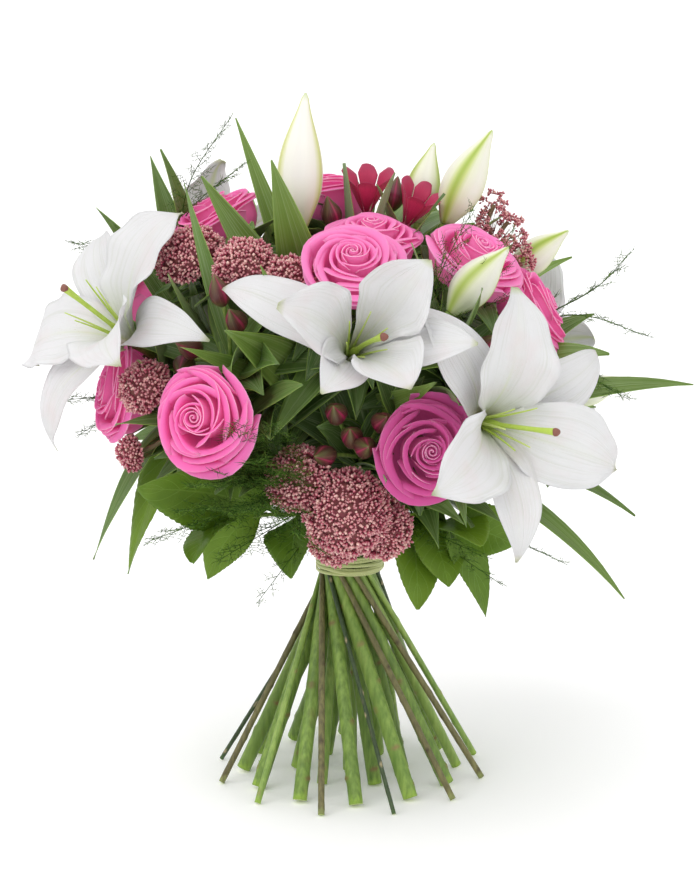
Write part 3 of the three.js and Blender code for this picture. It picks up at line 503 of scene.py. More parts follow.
def broad_leaf_material():
    s = Shade("broad leaf", rough=0.42, glow=0.28, gloss=0.35)
    body = s.mix("567a1c", "7e9e28", s.seed)
    cloud = s.rise(s.noise(45, detail=4), 0.35, 0.7)
    body = s.over(body, "8aac3c", cloud, 0.35)
    # Side veins run forward from the rib, and the net between them is fine.
    aside = s.math("ABSOLUTE", s.u)
    slanted = s.math("SUBTRACT", s.times(s.v, 9.0), s.times(aside, 2.0))
    tooth = s.math("ABSOLUTE", s.math("SUBTRACT", s.math("FRACT", slanted), 0.5))
    side_vein = s.math("SUBTRACT", 1.0, s.math("DIVIDE", tooth, 0.06), clamp=True)
    rib = s.narrow(s.u, 0.04)
    lines = s.math("MAXIMUM", side_vein, rib)
    net = s.node("ShaderNodeTexVoronoi", feature="DISTANCE_TO_EDGE")
    net.inputs["Scale"].default_value = 420.0
    s.link(s.where, net.inputs["Vector"])
    cells = s.math("MULTIPLY", net.outputs["Distance"], 2.2, clamp=True)
    body = s.over(body, "9dc45c", lines, 0.3)
    body = s.over(body, "8fae72", s.back, 0.5)
    puffed = s.math("SUBTRACT", s.times(cells, 0.5), lines)
    return s.finish(body, puffed, 0.0006, 0.35)


def stem_material(name, dark, light, scar, rough=0.42, fresh="9cbf45"):
    """place is (scar, length, tint). The last of a stem before its cut is torn and bright."""
    s = Shade(name, rough=rough, gloss=0.4)
    streak = s.noise(420, (1, 1, 0.06))
    body = s.mix(dark, light, s.rise(streak, 0.3, 0.7))
    body = s.over(body, light, s.seed, 0.5)
    body = s.over(body, dark, s.rise(s.noise(40, (1, 1, 0.25)), 0.4, 0.75), 0.6)
    body = s.over(body, scar, s.rise(s.noise(110, (1, 1, 0.4)), 0.6, 0.8), 0.25)
    body = s.over(body, scar, s.rise(s.u, 0.25, 0.85), 0.85)
    end = s.math("ADD", s.math("DIVIDE", s.v, 16.0), s.times(s.noise(500, (1, 1, 0.2)), 0.8))
    body = s.mix(body, fresh, s.ramp(end, (0.4, 0.65), (0.8, 0.0)))
    return s.finish(body, streak, 0.0005, 0.35)


def plain_material(name, codes, rough, glow=0.0, gloss=0.4):
    """A colour that each small form picks by its tint, with a fine mottle."""
    s = Shade(name, rough=rough, glow=glow, gloss=gloss)
    body = s.ramp(s.seed, *[(i / (len(codes) - 1), c) for i, c in enumerate(codes)])
    mottle = s.noise(300)
    body = s.over(body, codes[-1], s.rise(mottle, 0.45, 0.75), 0.3)
    return s.finish(body, mottle, 0.0004, 0.4)


def rice_bud_material():
    s = Shade("rice bud", rough=0.45, glow=0.12)
    body = s.ramp(s.seed, (0.0, "aa3f5a"), (0.35, "c45c74"), (0.7, "da868e"), (1.0, "f6ccc0"))
    # Paler tips: partly the buds' own cream, partly a painted highlight.
    body = s.over(body, "ffe6da", s.rise(s.v, 0.62, 1.0), 0.6)
    # Darker feet: painted shade in the gaps between the buds.
    body = s.over(body, "8e3c48", s.ramp(s.v, (0.0, 1.0), (0.5, 0.0)), 0.7)
    return s.finish(body, s.noise(900, detail=2), 0.0002, 0.4)


def floret_bud_material():
    """place is (share round, share along, tint): crimson edges, with a green rib and tip."""
    s = Shade("alstroemeria bud", rough=0.38, gloss=0.4)
    lobes = s.waves(s.u, 3.0)
    body = s.ramp(lobes, (0.0, "a8285a"), (0.07, "6e1a36"), (0.5, "4a1426"), (1.0, "432823"))
    lines = s.grain(44, 2)
    body = s.over(body, "9a6a52", s.rise(lines, 0.52, 0.7), 0.4)
    ends = s.ramp(s.v, (0.0, 0.9), (0.22, 0.5), (0.42, 0.05), (0.66, 0.25), (1.0, 1.0))
    ends = s.times(ends, s.math("MULTIPLY_ADD", lobes, 0.75, 0.25))
    body = s.mix(body, "6c7440", ends)
    body = s.over(body, "7e1f3c", s.seed, 0.25)
    return s.finish(body, lines, 0.0003, 0.4)


def floret_material():
    s = Shade("alstroemeria petal", rough=0.45, glow=0.3, Sheen_Weight=0.15)
    body = s.ramp(s.v, (0.0, "a11c48"), (0.35, "cf2560"), (0.8, "e43c72"), (1.0, "c03a62"))
    streaks = s.grain(22, 3, 2.0)
    body = s.over(body, "8c1440", s.rise(streaks, 0.6, 0.72), 0.5)
    body = s.over(body, "b83460", s.back, 0.5)
    return s.finish(body, streaks, 0.0004, 0.35)


def raffia_material():
    s = Shade("raffia", rough=0.6, Sheen_Weight=0.2)
    fibre = s.grain(22, 0.05)
    body = s.mix("9aa65a", "dadfa2", s.rise(fibre, 0.3, 0.7))
    body = s.over(body, "c9c98a", s.seed, 0.5)
    return s.finish(body, fibre, 0.0006, 0.6)


PETAL = rose_petal_material()
LILY = lily_petal_material()
LILY_BUD = lily_bud_material()
LILY_LEAF = lance_leaf_material("lily leaf", "425e1e", "7c9a44", "b6c894", 0.3)
ROSE_LEAF = lance_leaf_material("rose leaf", "42602a", "74924a", "aebf8c", 0.38)
ALSTRO_LEAF = lance_leaf_material("alstroemeria leaf", "44642a", "7a9a4e", "b8caa0", 0.4)
BROAD_LEAF = broad_leaf_material()
LILY_STEM_SKIN = stem_material("lily stem", "54762a", "96b054", "8a7148")
ROSE_STEM_SKIN = stem_material("rose stem", "4a6824", "8aa64c", "7a5a3a")
SOFT_STEM_SKIN = stem_material("soft stem", "5c8030", "9eb65e", "948a58")
WOODY_SKIN = stem_material("woody stem", "4e4a30", "827c4e", "3a2a1e", 0.5, "96a45e")
WIRY_SKIN = stem_material("wiry stem", "28381c", "47593a", "c4b08a", 0.5, "4f6f38")
CUT_END = plain_material("cut end", ["a9c06d", "c3d190", "d9dfb4"], 0.7)
FERN = plain_material("fern needle", ["2a4512", "3c601c", "5a802e", "84a84a"], 0.6, 0.3, gloss=0.15)
RICE = rice_bud_material()
RICE_STALK = plain_material("rice flower stalk", ["8a444c", "8e5a54", "6a7444"], 0.6)
FLORET = floret_material()
FLORET_BUD_SKIN = floret_bud_material()
STYLE = plain_material("lily style", ["b2d04a", "c8de64", "dcea92"], 0.35, 0.2)
STIGMA = plain_material("lily stigma", ["6a3834", "8a5a4c", "4a2626"], 0.5)
RAFFIA = raffia_material()

# Places in a green piece's list of materials: skin, leaf, cut end, and broad leaf or green bud.
# A fern has its needles first, then its stem. A rice flower's wood has its cut end second.
STEM, LEAF, CUT, OTHER = range(4)
NEEDLE, FERN_STALK = 0, 1
RICE_CUT = 1

# Stem routes, as in the solids

TIE_HEIGHT = 165
SPIRAL = -0.0292  # sideways run per mm of height, for each mm of a stem's radius at the tie
BEND_HEIGHT = 182
LOW_STEPS = 64  # rings of a stem up to its bend
RING_RADIUS = [0, 8.1, 16.7, 20.7]
RING_SLOTS = [1, 6, 12, 12]
RING_TURN = [0, -20, 15, 0]


class Route:
    """A stem: straight through its place at the tie, then curved to its neck."""

    def __init__(self, slot, neck, face):
        self.slot, self.neck = slot, vec(*neck)
        start = self.straight(BEND_HEIGHT)
        lead = unit(start - self.straight(BEND_HEIGHT - 10))
        reach = np.linalg.norm(self.neck - start)
        self.marks = [start, start + lead * reach * 0.36, self.neck - facing(face) * reach * 0.36, self.neck]
        self.reach = reach

    def straight(self, height):
        ring, slot = self.slot
        a = math.radians(RING_TURN[ring] + 360 * slot / RING_SLOTS[ring])
        q = RING_RADIUS[ring] * vec(math.cos(a), math.sin(a))
        run = SPIRAL * (height - TIE_HEIGHT)
        return vec(q[0] - run * q[1], q[1] + run * q[0], height)

    def at(self, s):
        s = np.asarray(s, float)[..., None]
        a, b, c, d = self.marks
        return a * (1 - s) ** 3 + 3 * b * s * (1 - s) ** 2 + 3 * c * s**2 * (1 - s) + d * s**3


def wrapped(a):
    return (a + np.pi) % (2 * np.pi) - np.pi


SQUEEZED = 60  # how far from the tie a stem is thinned by it
STRIPPED = 160  # how far up a stem its leaves were stripped off
# How thick each kind of stem is, and how far apart and how large its leaf scars are.
ROSE_STEM = dict(diameter=8.2, gap=34, knot=0.8)
LILY_STEM = dict(diameter=8.6, gap=15, knot=0.55)
RICE_STEM = dict(diameter=3.6, gap=22, knot=0.4, sides=10)
SOFT_STEM = dict(diameter=6, gap=30, knot=0.4)
THIN_SOFT_STEM = dict(diameter=3.6, gap=30, knot=0.4)
BROADLEAF_STEM = dict(diameter=3.6, gap=26, knot=0.4, sides=10, taper=0.6)
FERN_STEM = dict(diameter=3.2, gap=18, knot=0.3, sides=8, taper=0.3, swell=0.0)


def stem(form, route, kind, cut, rng, diameter, gap, knot, taper=0.8, sides=12, swell=0.3):
    """A stem with leaf scars, squeezed where it passes the tie.

    swell is how much thicker it is away from the tie, and taper how thick at its neck.
    """
    ring = route.slot[0]
    slope = math.atan(abs(SPIRAL) * RING_RADIUS[ring])
    radius = diameter / 2
    heights = np.linspace(radius * (1 + swell) * math.sin(slope) + 0.05, BEND_HEIGHT, LOW_STEPS)
    low = np.array([route.straight(h) for h in heights])
    high = route.at(np.linspace(0, 1, max(int(route.reach / 5), 8))[1:])
    path = np.concatenate([low, high])
    run = lengths(path)
    away = step(np.abs(path[:, 2] - TIE_HEIGHT) / SQUEEZED) * np.where(path[:, 2] > TIE_HEIGHT, 0.4, 1)
    bend = run[LOW_STEPS - 1]
    thin = 1 - (1 - taper) * np.clip((run - bend) / (run[-1] - bend), 0, 1)
    r = (radius * (1 + swell * away) * thin)[:, None]
    angle = circle(sides)
    scar = np.zeros((len(path), sides))
    bump = np.zeros((len(path), sides))
    at, turn, nodes = rng.uniform(4, gap), rng.uniform(0, 6), []
    while at < run[-1] - 20:
        nodes.append((at, turn))
        near = np.exp(-(((run - at) / 2.4) ** 2))[:, None]
        side = np.exp(-((wrapped(angle - turn) / 0.75) ** 2))[None, :]
        scar += near * side
        bump += near * (0.25 * knot + knot * side)
        at += gap * rng.uniform(0.7, 1.4)
        turn += NEXT + rng.uniform(-0.3, 0.3)
    along, across, other = form.tube(
        path, r + bump, sides, kind, rng.uniform(0.05, 0.9), np.clip(scar, 0, 1), cut
    )
    # Leaf stubs, left where the lower leaves were stripped off.
    stubs = [n for n in nodes if 8 < n[0] < STRIPPED][:: 2 if gap < 20 else 1]
    if knot > 0.45 and stubs:
        spots = np.searchsorted(run, [n[0] for n in stubs])
        turns = np.array([n[1] for n in stubs])[:, None]
        out = across[spots] * np.cos(turns) + other[spots] * np.sin(turns)
        foot = path[spots] + out * radius * 0.8
        end = foot + (out * 2.7 + along[spots] * 2.4) * rng.uniform(0.6, 1.2, (len(stubs), 1))
        form.spike(foot, end, 1.2, kind, 0.5)


# Leaves


def leaf_outline(v, broad):
    """How wide a leaf is along its rib. A broad one starts with a stalk."""
    if broad:
        body = np.maximum(v - 0.1, 0) / 0.9
        return np.maximum(0.05, np.sin(np.pi * np.minimum(body, 1) ** 0.85) ** 0.72)
    return np.maximum(0.025, np.sin(np.pi * (0.04 + 0.96 * v) ** 0.72) ** 0.95)


HEART = vec(0, -10, 300)  # the middle of the head, from which leaves look outward
CLEAR = 3  # a leaf's least distance from the points kept of the flowers


def leaf(
    form, base, tip, width, rise, roll, kind, rng, broad=False, wave=1.0, fine=1.0, tint=None, near=None
):
    """A leaf from its base to its tip. Its upper side looks outward, forward and up.

    wave is how much it twists and ripples, and fine how close its points are. near holds points
    of the flowers: where it is given, a leaf that comes too close to one isn't made.
    """
    rows, cols = (73, 11) if broad else (int(17 * fine) | 1, 9 if fine > 0.8 else 7)
    u, v = sheet(rows, cols)
    base, tip = vec(*base), vec(*tip)
    middle = (base + tip) / 2 + vec(0, 0, 2 * rise)
    rib = bow(base, middle, tip, v)
    along = units(2 * (1 - v) * (middle - base) + 2 * v * (tip - middle))
    look = unit(middle - HEART) * 0.75 + vec(0, -0.25, 0.5)
    side = unit(np.cross(look, tip - base))
    front = units(np.cross(along, side))
    flat = np.cross(front, along)
    r = np.radians(roll + rng.uniform(-5, 5) + (18 * wave - 6) * (v - 0.4) * rng.uniform(-1, 1))
    x = flat * np.cos(r) + front * np.sin(r)
    y = np.cross(along, x)
    half = width / 2 * leaf_outline(v, broad) * np.ones_like(u)
    if broad:
        saw = (v * 24) % 1.0
        half = half * (1 + np.abs(u) ** 4 * 0.06 * (saw - 0.5))
    phase = rng.uniform(0, 6)
    keel = (0.2 if broad else 0.32) * half * (np.sqrt(u**2 + 0.01) - 0.5)
    beat = np.sin(v * (9 if broad else 7) + phase + 1.2 * np.sign(u))
    ripple = wave * width * 0.04 * beat * np.abs(u) ** 2
    if broad:
        veins = np.cos(2 * np.pi * (9 * v - 2 * np.abs(u)))
        ripple = ripple + 0.6 * veins * np.sqrt(np.abs(u)) * (1 - v)
    high = keel + ripple - width * 0.1 * v**6
    points = rib[:, None] + (u * half)[..., None] * x[:, None] + high[..., None] * y[:, None]
    tint = rng.uniform(0.02, 0.97) if tint is None else tint
    if near and any(near.find(q)[2] < CLEAR for q in points[2::2, ::4].reshape(-1, 3)):
        return False
    form.shell(points[:, ::-1], kind, tint, 0.7)
    return True


# Roses

ROSE_TOP = 1.25  # from a rose's neck to its top, in radii
# Lines from a petal's foot to its rolled rim, as (distance from the axis, height) in radii.
# Each line is for the petal at one of these shares of the way from the heart outward.
ROSE_KEYS = [0.0, 0.15, 0.3, 0.5, 0.75, 1.0]
ROSE_REACH = [2.9, 2.2, 1.65, 1.35, 1.25, 1.3]  # half of a petal's way round, in radians
ROSE_PETALS = 27
ROSE_LINES = np.array(
    [
        [[0.02, 0.10], [0.03, 0.50], [0.05, 0.90], [0.05, 1.14], [0.04, 1.28], [0.03, 1.31]],
        [[0.04, 0.06], [0.11, 0.40], [0.15, 0.82], [0.16, 1.12], [0.15, 1.29], [0.16, 1.32]],
        [[0.05, 0.04], [0.20, 0.36], [0.27, 0.76], [0.28, 1.06], [0.27, 1.26], [0.30, 1.30]],
        [[0.05, 0.03], [0.40, 0.24], [0.52, 0.62], [0.54, 0.94], [0.53, 1.17], [0.59, 1.21]],
        [[0.06, 0.02], [0.56, 0.16], [0.80, 0.46], [0.84, 0.78], [0.85, 1.01], [0.96, 1.04]],
        [[0.07, 0.01], [0.62, 0.08], [0.92, 0.34], [1.00, 0.60], [1.04, 0.82], [1.20, 0.76]],
    ]
)


def rose_petals(form, neck, face, radius, rng, painted_light_tint=None):
    """Petals turned round a tight heart. Each has one side tucked under and a rolled rim."""
    axes = axes_along(facing(face))
    u, s = sheet(12, 15)
    v = 1 - (1 - s) ** 1.8
    turn = rng.uniform(0, 6)
    for i in range(ROSE_PETALS):
        t = i / (ROSE_PETALS - 1)
        loose = float(step((t - 0.15) / 0.3))
        line = [[np.interp(t, ROSE_KEYS, ROSE_LINES[:, k, c]) for c in (0, 1)] for k in range(6)]
        line = np.array(line) * [1 + loose * rng.uniform(-0.08, 0.08), 1 + rng.uniform(-0.05, 0.02)]
        top = v * (1 - (0.03 + 0.1 * t) * u**2 - 0.14 * u**8)
        point = smooth_line(line, top)
        wide = np.interp(t, ROSE_KEYS, ROSE_REACH)
        close = 1 - 0.75 * float(step((t - 0.65) / 0.3))
        spread = wide * (0.35 + 0.65 * np.sin(np.minimum(v / 0.6, 1) * np.pi / 2))
        turn += NEXT + rng.uniform(-0.3, 0.3)
        a = turn + u * spread
        tuck = (0.045 + 0.075 * loose) * close * u * np.minimum(1, 2 * v)
        late = v**3
        # The rim runs nearly straight from its pointed middle to its rolled corners.
        peak = rng.uniform(-0.4, 0.4)
        ridge = np.maximum(0, 1 - np.abs(u - peak) / 0.85)
        flat = close * loose * rng.uniform(-0.16, 0.02) * np.cos(np.pi * u * 0.9) * (0.25 + 0.75 * late)
        pointed = rng.uniform(0.08, 0.16) * loose * t * ridge**1.4 * late
        corner = 0.16 * t * np.abs(u) ** 4 * v**3
        lip = loose * rng.uniform(-0.03, 0.07) * v**8
        wavy = 0.035 * t * np.sin(4.1 * u + turn * 3) * v**3
        dent = 0.03 * loose * np.cos(2.3 * u + turn * 5) * np.sin(np.pi * v)
        out = (point[..., 0] + tuck + corner + flat + pointed + lip + dent) * radius
        high = (point[..., 1] + wavy - 0.7 * corner + 0.3 * pointed - 0.3 * lip) * radius
        points = in_axes(neck, axes, out * np.cos(a), out * np.sin(a), high)
        tint = rng.uniform(0.1, 0.75)
        # Roses set apart for painted light and painted shade give all their petals one tint.
        form.shell(points[:, ::-1], 0, tint if painted_light_tint is None else painted_light_tint, 0.8, 0.6)


def rose_calyx(form, neck, face, radius, rng):
    """The green cup and its five sepals, which bend back down."""
    axes = axes_along(facing(face))
    radii = [3.4, 3.7, 4.6, 5.6, 6.4, 6.7, 6.6, 5.6, 3.0]
    form.knob(neck, axes[2], np.linspace(-8, 1.5, 9), radii, 14, STEM, 0.5, 0.0)
    u, v = sheet(9, 5)
    for k in range(5):
        a = 2 * np.pi * (k + rng.uniform(-0.1, 0.1)) / 5
        out = 4.5 + radius * (0.62 * v - 0.12 * v**3)
        high = radius * (0.1 + 0.28 * v - 0.62 * v**2 * rng.uniform(0.7, 1.2))
        half = 3.6 * np.sin(np.pi * (0.18 + 0.82 * v) ** 0.8)
        x = out * math.cos(a) - u * half * math.sin(a)
        y = out * math.sin(a) + u * half * math.cos(a)
        points = in_axes(neck, axes, x, y, high + 0.6 * u**2)
        form.shell(points, LEAF, rng.uniform(0.2, 0.8), 0.6)


# Lilies

OUTER_TEPAL = dict(lean=24, flare=84, half=20, widest=1.1, ruffle=0, root=3.2, frill=1.6, frills=2.6)
INNER_TEPAL = dict(lean=15, flare=80, half=31, widest=1.3, ruffle=4, root=3, frill=4.2, frills=4.3)
LILY_TEPAL = 112
LILY_STYLE = 84
LILY_FILAMENT = 62
TEPAL_STEPS = 48  # short straight runs that a tepal's curve is summed from


def lily_bloom(form, neck, face, turn, spread, shift, style_turn, rng):
    """Tepals are kind 0, the style and filaments 1, and the stigma 2."""
    axes = axes_along(facing(face), turn)
    u, v = sheet(33, 17)
    for index in range(6):
        kind = (OUTER_TEPAL, INNER_TEPAL)[index % 2]
        steps = (np.arange(TEPAL_STEPS) + 0.5) / TEPAL_STEPS
        lean = np.radians(spread[index] * (kind["lean"] + kind["flare"] * steps**1.1))
        far = kind["root"] + summed(np.sin(lean)) * LILY_TEPAL / TEPAL_STEPS
        tall = 1 + summed(np.cos(lean)) * LILY_TEPAL / TEPAL_STEPS
        marks = np.linspace(0, 1, TEPAL_STEPS + 1)
        r, z = np.interp(v, marks, far), np.interp(v, marks, tall)
        swell = np.maximum(np.sin(np.pi * v ** kind["widest"]), 0) ** 0.85
        half = kind["half"] * (0.1 + 0.9 * swell) * (1 - 0.6 * v**10)
        half = half * (1 + 0.05 * np.sin(13 * v + index * 2 + 1.7 * np.sign(u)) * np.sin(np.pi * v))
        wave = kind["ruffle"] * np.sin(3.2 * np.pi * v) * u * np.abs(u) * v
        phase = rng.uniform(0, 6, 2)
        frill = kind["frill"] * np.abs(u) ** 3 * v * (1 - v**6)
        edge = frill * np.sin(2 * np.pi * kind["frills"] * v + phase[0] + 1.9 * np.sign(u))
        middle = 1.1 * np.exp(-((u / 0.1) ** 2))
        beside = 0.5 * np.exp(-((np.abs(u) - 0.45) / 0.12) ** 2)
        groove = -(middle + beside) * (1 - v)
        cup = 0.18 * half * u**2
        hook = -3.6 * (np.maximum(v - 0.86, 0) / 0.14) ** 2
        a = np.pi * (index + 0.5) / 3 + math.radians(shift[index]) + u * np.minimum(half / r, 0.98)
        points = in_axes(neck, axes, r * np.cos(a), r * np.sin(a), z + cup + wave + edge + groove + hook)
        form.shell(points[:, ::-1], 0, rng.uniform(0, 0.95), 0.9, 0.4)
    a = math.radians(style_turn)
    z = np.linspace(2, LILY_STYLE, 22)
    r = 9 * (z / LILY_STYLE) ** 2
    path = in_axes(neck, axes, r * math.cos(a), r * math.sin(a), z)
    form.tube(path, np.interp(z, [2, 24, 30, 66, 80, 84], [3.0, 2.7, 1.6, 1.7, 2.3, 2.6]), 10, 1, 0.3)
    end, ahead = path[-1], unit(path[-1] - path[-2])
    lobes = 1 + 0.1 * np.cos(3 * np.arange(15) * 2 * np.pi / 15)[None, :]
    radii = np.array([1.8, 2.5, 2.8, 2.6, 1.7, 0.4])[:, None] * lobes
    form.knob(end, ahead, [-1.2, -0.2, 1.0, 2.2, 3.0, 3.3], radii, 15, 2, 0.4)
    for k in range(6):
        a = np.pi * k / 3
        z = np.linspace(3, LILY_FILAMENT * rng.uniform(0.92, 1.04), 14)
        r = 2.5 + 13 * (z / LILY_FILAMENT) ** 1.4
        path = in_axes(neck, axes, r * math.cos(a), r * math.sin(a), z)
        form.tube(path, np.linspace(1.2, 0.45, 14), 6, 1, rng.uniform(0.3, 0.9))


def lily_bud(form, base, tip, radius, kind, ripe):
    """Three broad outer tepals meet along seams, each with a raised rib."""
    base, tip = vec(*base), vec(*tip)
    s = np.linspace(0, 1, 26)
    girth = smooth_line([[0.28], [0.62], [0.9], [1.0], [0.96], [0.8], [0.56], [0.3], [0.1]], s)[:, 0]
    girth[-1] = 0.04
    sides = 36
    a = circle(sides)
    # The material's ribs are where the share round times 3 peaks, a quarter into each third.
    rib = np.cos(3 * (a - np.pi / 6))[None, :]
    seam = np.exp(-(((rib + 1) / 0.12) ** 2))
    radii = radius * girth[:, None] * (1 + 0.05 * rib - 0.07 * seam + 0.3 * np.maximum(rib - 0.9, 0))
    bend = unit(np.cross(tip - base, vec(0.3, 1, 0.2))) * radius * 0.12
    path = base + s[:, None] * (tip - base) + bend * np.sin(np.pi * s)[:, None]
    form.tube(path, radii, sides, kind, ripe)
    form.places[-1] = form.places[-1] / [1, np.linalg.norm(tip - base), 1]


def stalk(form, start, end, face, radius, kind, rng, swell=1.0):
    """A flower's own stalk. swell is how much thicker it is where the flower sits."""
    reach = np.linalg.norm(end - start)
    middle = end - face * reach * 0.45
    s = np.linspace(0, 1, 12)[:, None]
    path = bow(start, middle, end, s)
    radii = radius * (1.1 - 0.1 * s[:, 0] + (swell - 1) * s[:, 0] ** 8)
    form.tube(path, radii, 9, kind, rng.uniform(0.2, 0.8), 0.0)


# Rice flower

LEAST_DOME = 11  # a rice flower head of a smaller radius is a loose one
DOME_TOP, DOME_UNDER = 0.86, 0.42  # how far a head reaches up and down from its middle, in radii


def fibonacci(count, lowest, start=0.0):
    """Even directions over a dome, from its top down to a lowest height."""
    k = np.arange(count)
    z = 1 - (1 - lowest) * (k + 0.5) / count
    flat = np.sqrt(1 - z * z)
    turn = GOLDEN_ANGLE * k + start
    return np.stack([flat * np.cos(turn), flat * np.sin(turn), z], -1)


def rice_dome(form, centre, radius, face, rng):
    """A dome of close buds in soft lumps. Buds are kind 0, and the shaded inside is 1."""
    axes = axes_along(facing(face))
    centre = vec(*centre)
    polar = np.linspace(0, np.pi, 9)[:, None]
    a = circle(16)[None, :]
    squash = np.where(np.cos(polar) < 0, DOME_UNDER, DOME_TOP)
    inner = 0.86 * radius
    flat = inner * np.sin(polar + 1e-3)
    points = in_axes(centre, axes, flat * np.cos(a), flat * np.sin(a), inner * np.cos(polar) * squash)
    index = form.grid(points[::-1], 0.0, 1, wrap=True)
    form.add(index[0][::-1], 1)
    form.add(index[-1], 1)
    lumps = fibonacci(max(int(radius**2 / 20), 8), -0.45, rng.uniform(0, 6))
    wide = math.sqrt(2.9 / len(lumps) * 1.2)
    count = int(radius**2 * 2.2)
    way = units(fibonacci(count, -0.5) + rng.normal(0, 0.045, (count, 3)))
    cosines = way @ lumps.T
    best = np.argmax(cosines, axis=1)
    away = np.arccos(np.clip(cosines[np.arange(len(way)), best], -1, 1)) / wide
    reach = radius * (1.04 - 0.13 * np.clip(away, 0, 1.3) ** 2) - 2.2 + rng.normal(0, 0.95, len(way))
    squeeze = np.where(way[:, 2:] > 0, DOME_TOP, DOME_UNDER)
    ones = np.ones_like(squeeze)
    start = in_axes(centre, axes, *(way * reach[:, None] * np.hstack([ones, ones, squeeze])).T)
    lean = way * np.hstack([ones, ones, 1 / np.sqrt(squeeze)])
    lean = lean + 0.5 * (way - lumps[best]) / wide + rng.normal(0, 0.12, way.shape)
    length = rng.uniform(2.7, 4.0, len(way))
    tint = rng.uniform(0, 1, len(way)) * 0.97
    form.buds(start, units(units(lean) @ axes), length, length * 0.34, 0, tint)


def rice_spray(form, centre, radius, face, root, rng):
    """A loose head: small clusters of buds on thin stalks."""
    way = facing(face)
    centre = vec(*centre)
    hearts = centre + units(rng.normal(size=(9, 3)) + way * 0.5) * radius * rng.uniform(0.5, 1.0, (9, 1))
    form.spike(np.tile(root, (9, 1)), hearts, 0.7, 1, rng.uniform(0.3, 0.7, 9))
    for heart in hearts:
        out = unit(heart - centre + way * radius * 0.6)
        rays = units(rng.normal(size=(22, 3)) + out * 1.1)
        start = heart + rays * rng.uniform(0.4, 3.0, (22, 1))
        length = rng.uniform(1.9, 2.7, 22)
        form.buds(start, rays, length, length * 0.33, 0, rng.uniform(0.2, 0.97, 22))


# Alstroemeria. Closed florets are kind 0, open ones 1 and stalks 2.

FLORET_BUD = 26
FLORET_BUD_RADIUS = 7.6
FLORET_LENGTH = 36


def floret_bud(form, at, face, rng):
    """A closed floret of three lobes, with a seam between each two."""
    s = np.linspace(0, 1, 14)
    girth = smooth_line([[0.3], [0.78], [1.0], [0.96], [0.7], [0.36], [0.12]], s)[:, 0]
    girth[-1] = 0.03
    a = circle(18)
    lobe = np.cos(3 * (a - np.pi / 6))[None, :]
    seam = np.exp(-(((lobe + 1) / 0.2) ** 2))
    radii = FLORET_BUD_RADIUS * girth[:, None] * (1 + 0.06 * lobe - 0.08 * seam)
    path = vec(*at) + s[:, None] * facing(face) * FLORET_BUD
    form.tube(path, radii, 18, 0, rng.uniform(0, 0.95))
    form.places[-1] = form.places[-1] / [1, FLORET_BUD, 1]


def floret_flower(form, at, face, opened, rng):
    """Six petals in a funnel, wider the more it has opened."""
    axes = axes_along(facing(face))
    u, v = sheet(15, 9)
    for i in range(6):
        point = smooth_line(np.array([[0.05, 0.1], [0.27, 0.55], [0.42, 1]]) * FLORET_LENGTH, v[:, 0])
        r = point[:, :1] * (0.55 + 0.45 * opened) + (i % 2) * 1.4 * v + 4 * v**5
        wide = np.interp(v, [0, 0.5, 0.85, 1], [0.25, 0.5, 0.52, 0.25])
        a = np.pi * (i + 0.5) / 3 + u * wide
        high = point[:, 1:] - 1.4 * u**2 * v + 0.8 * np.sin(4 * v + i) * u
        points = in_axes(vec(*at), axes, r * np.cos(a), r * np.sin(a), high * np.ones_like(u))
        form.shell(points, 1, rng.uniform(0, 0.95), 0.6)
    form.knob(vec(*at), axes[2], [-1, 2, 5, 8], [2.6, 3.6, 4.2, 3.0], 10, 1, 0.3)


# Fern


def fern_spray(form, axis, spread, rng, branches, needle=5.2, start=0.15):
    """A wiry axis (n x 3 points) with side branches in one plane, set with needles."""
    axis = np.asarray(axis, float)
    form.tube(axis, np.linspace(0.6, 0.2, len(axis)), 5, NEEDLE, 0.3)
    bases, tips = [], []
    for i in range(branches):
        share = start + (0.97 - start) * i / (branches - 1)
        before, at, after = smooth_line(axis, np.array([share - 0.02, share, min(share + 0.02, 1)]))
        along = unit(after - before)
        x, y, _ = axes_along(along)
        side = 1 if i % 2 else -1
        swell = math.sin(math.pi * (0.16 + 0.8 * (share - start) / (1 - start)))
        reach = spread * swell * rng.uniform(0.7, 1.1)
        out = unit(x * side * 0.8 + along * 0.55 + y * rng.uniform(-0.25, 0.25))
        twigs = 2 * max(int(reach / 4.2), 2)
        end = at + out * reach - vec(0, 0, reach * 0.06)
        form.spike(np.array([at]), np.array([end]), 0.3, NEEDLE, 0.4)
        for k in range(twigs):
            spot = at + (end - at) * (0.12 + 0.86 * k / twigs)
            flank = 1 if k % 2 else -1
            twig = unit(along * flank * side * 0.8 + out * 0.7 + y * rng.uniform(-0.3, 0.3))
            long = needle * (1.5 - 0.8 * k / twigs)
            joint = spot + twig * long
            bases.append(spot)
            tips.append(joint)
            for m in range(2):
                foot = spot + twig * long * (0.25 + 0.4 * m)
                lean = unit(twig * 0.7 + out * (1 if m % 2 else -1) * 0.8 + y * rng.uniform(-0.7, 0.7))
                bases.append(foot)
                tips.append(foot + lean * needle * 1.15 * rng.uniform(0.7, 1.15))
    form.spike(np.array(bases), np.array(tips), 0.24, NEEDLE, rng.uniform(0, 0.95, len(bases)))


# The plants, with the places of the solids. Some leaves are turned or narrowed for their looks.

